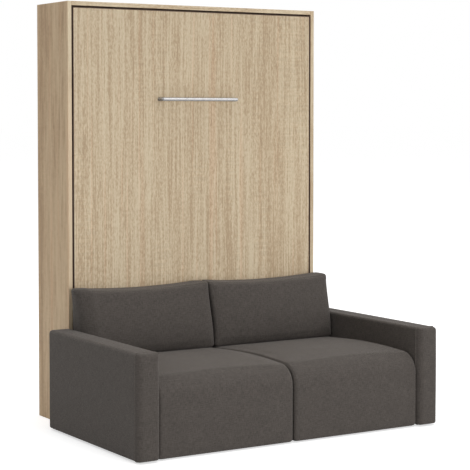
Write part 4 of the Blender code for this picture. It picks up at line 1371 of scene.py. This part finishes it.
# A lamp's width and depth, its place, and the point that it faces
TOP_LIGHT = ((11.2, 9.6), (1.3, -1.6, 15.8), (0, -0.3, 0.4))
FRONT_LIGHT = ((3.6, 4.0), (1.2, -9.4, 1.0), (0, 0, 0.8))


def seen_ray(tree):
    """One where a camera, glossy or glass ray looks, and zero for the rays that light things."""
    rays = tree.nodes.new("ShaderNodeLightPath")
    total = rays.outputs["Is Camera Ray"]
    for name in ("Is Glossy Ray", "Is Transmission Ray"):
        largest = tree.nodes.new("ShaderNodeMath")
        largest.operation = "MAXIMUM"
        tree.links.new(total, largest.inputs[0])
        tree.links.new(rays.outputs[name], largest.inputs[1])
        total = largest.outputs[0]
    return total


def build_floor(look):
    """A plain pale floor that keeps the object's shadow."""
    solid = bmesh.new()
    bmesh.ops.create_grid(solid, x_segments=1, y_segments=1, size=FLOOR_HALF)
    bmesh.ops.translate(solid, vec=(0, 0, -FLOOR_DROP), verts=solid.verts)
    finish = Finish("pale_floor")
    cloud = finish.figure("floor_cloud", finish.place())
    finish.surface("Base Color", finish.ramp(cloud, tinted(look.floor_tone, FLOOR_STOPS)))
    finish.surface("Roughness", FLOOR_ROUGHNESS)
    finish.surface("Specular IOR Level", 0.0)
    tree = finish.tree
    white = finish.add("ShaderNodeEmission")
    white.inputs["Color"].default_value = WHITE
    white.inputs["Strength"].default_value = 1 - min(look.floor_tone) * look.sky_strength
    both = finish.add("ShaderNodeAddShader")
    tree.links.new(finish.shader.outputs["BSDF"], both.inputs[0])
    tree.links.new(white.outputs[0], both.inputs[1])
    chosen = finish.add("ShaderNodeMixShader")
    tree.links.new(seen_ray(tree), chosen.inputs["Fac"])
    tree.links.new(finish.shader.outputs["BSDF"], chosen.inputs[1])
    tree.links.new(both.outputs[0], chosen.inputs[2])
    output = next(node for node in tree.nodes if node.type == "OUTPUT_MATERIAL")
    tree.links.new(chosen.outputs[0], output.inputs["Surface"])
    new_piece("floor", solid, [finish.material], smooth=False)


def build_sky(look):
    """Even light from all round, seen as white behind the object."""
    world = bpy.data.worlds.new("even_sky")
    world.use_nodes = True
    tree = world.node_tree
    lit = tree.nodes["Background"]
    lit.inputs["Color"].default_value = WHITE
    lit.inputs["Strength"].default_value = look.sky_strength
    seen = tree.nodes.new("ShaderNodeBackground")
    seen.inputs["Color"].default_value = WHITE
    seen.inputs["Strength"].default_value = 1.0
    chosen = tree.nodes.new("ShaderNodeMixShader")
    tree.links.new(seen_ray(tree), chosen.inputs["Fac"])
    tree.links.new(lit.outputs[0], chosen.inputs[1])
    tree.links.new(seen.outputs[0], chosen.inputs[2])
    tree.links.new(chosen.outputs[0], tree.nodes["World Output"].inputs["Surface"])
    bpy.context.scene.world = world


def build_lamp(name, power, size, place, target):
    """A large soft lamp that faces a point."""
    data = bpy.data.lights.new(name, "AREA")
    data.shape = "RECTANGLE"
    data.size, data.size_y = size
    data.energy = power
    lamp = bpy.data.objects.new(name, data)
    lamp.location = place
    lamp.rotation_euler = (Vector(target) - Vector(place)).to_track_quat("-Z", "Y").to_euler()
    bpy.context.scene.collection.objects.link(lamp)


def build_camera(look):
    """The camera at the photographed view."""
    data = bpy.data.cameras.new("view")
    data.lens = look.camera_lens
    data.shift_y = look.camera_shift
    data.clip_end = FAR_CLIP
    camera = bpy.data.objects.new("view", data)
    camera.location = look.camera_place
    camera.rotation_euler = (math.pi / 2 - look.camera_tip, 0, -look.camera_turn)
    bpy.context.scene.collection.objects.link(camera)
    bpy.context.scene.camera = camera


class WALL_BED_PT_sidebar(bpy.types.Panel):
    """The steps in their order, with the settings that each of them reads."""

    bl_idname = "WALL_BED_PT_sidebar"
    bl_label = "Wall bed with sofa"
    bl_space_type = "VIEW_3D"
    bl_region_type = "UI"
    bl_category = "Wall bed"

    def draw(self, context):
        for operator in OPERATORS:
            self.layout.operator(operator.bl_idname)
        for attribute, group in SETTINGS.items():
            box = self.layout.box()
            box.label(text=group.__doc__)
            for name in group.__annotations__:
                box.prop(getattr(context.scene, attribute), name)


SETTINGS = {
    "wall_bed_oak": OakSettings,
    "wall_bed_fabric": FabricSettings,
    "wall_bed_mattress": MattressSettings,
    "wall_bed_arm": ArmSettings,
    "wall_bed_seat": SeatSettings,
    "wall_bed_cushion": CushionSettings,
    "wall_bed_stage": StageSettings,
}
OPERATORS = (
    WALL_BED_OT_set_stage,
    WALL_BED_OT_finish_boards,
    WALL_BED_OT_finish_frame,
    WALL_BED_OT_finish_metal,
    WALL_BED_OT_add_mattress,
    WALL_BED_OT_add_upholstery,
)


def register():
    for group in SETTINGS.values():
        bpy.utils.register_class(group)
    for attribute, group in SETTINGS.items():
        setattr(bpy.types.Scene, attribute, bpy.props.PointerProperty(type=group))
    for operator in OPERATORS:
        bpy.utils.register_class(operator)
    bpy.utils.register_class(WALL_BED_PT_sidebar)


def unregister():
    bpy.utils.unregister_class(WALL_BED_PT_sidebar)
    for operator in reversed(OPERATORS):
        bpy.utils.unregister_class(operator)
    for attribute, group in SETTINGS.items():
        delattr(bpy.types.Scene, attribute)
        bpy.utils.unregister_class(group)


def main():
    register()
    bpy.ops.wall_bed.set_stage()
    bpy.ops.wall_bed.finish_boards()
    bpy.ops.wall_bed.finish_frame()
    bpy.ops.wall_bed.finish_metal()
    bpy.ops.wall_bed.add_mattress()
    bpy.ops.wall_bed.add_upholstery()


if __name__ == "__main__":
    main()
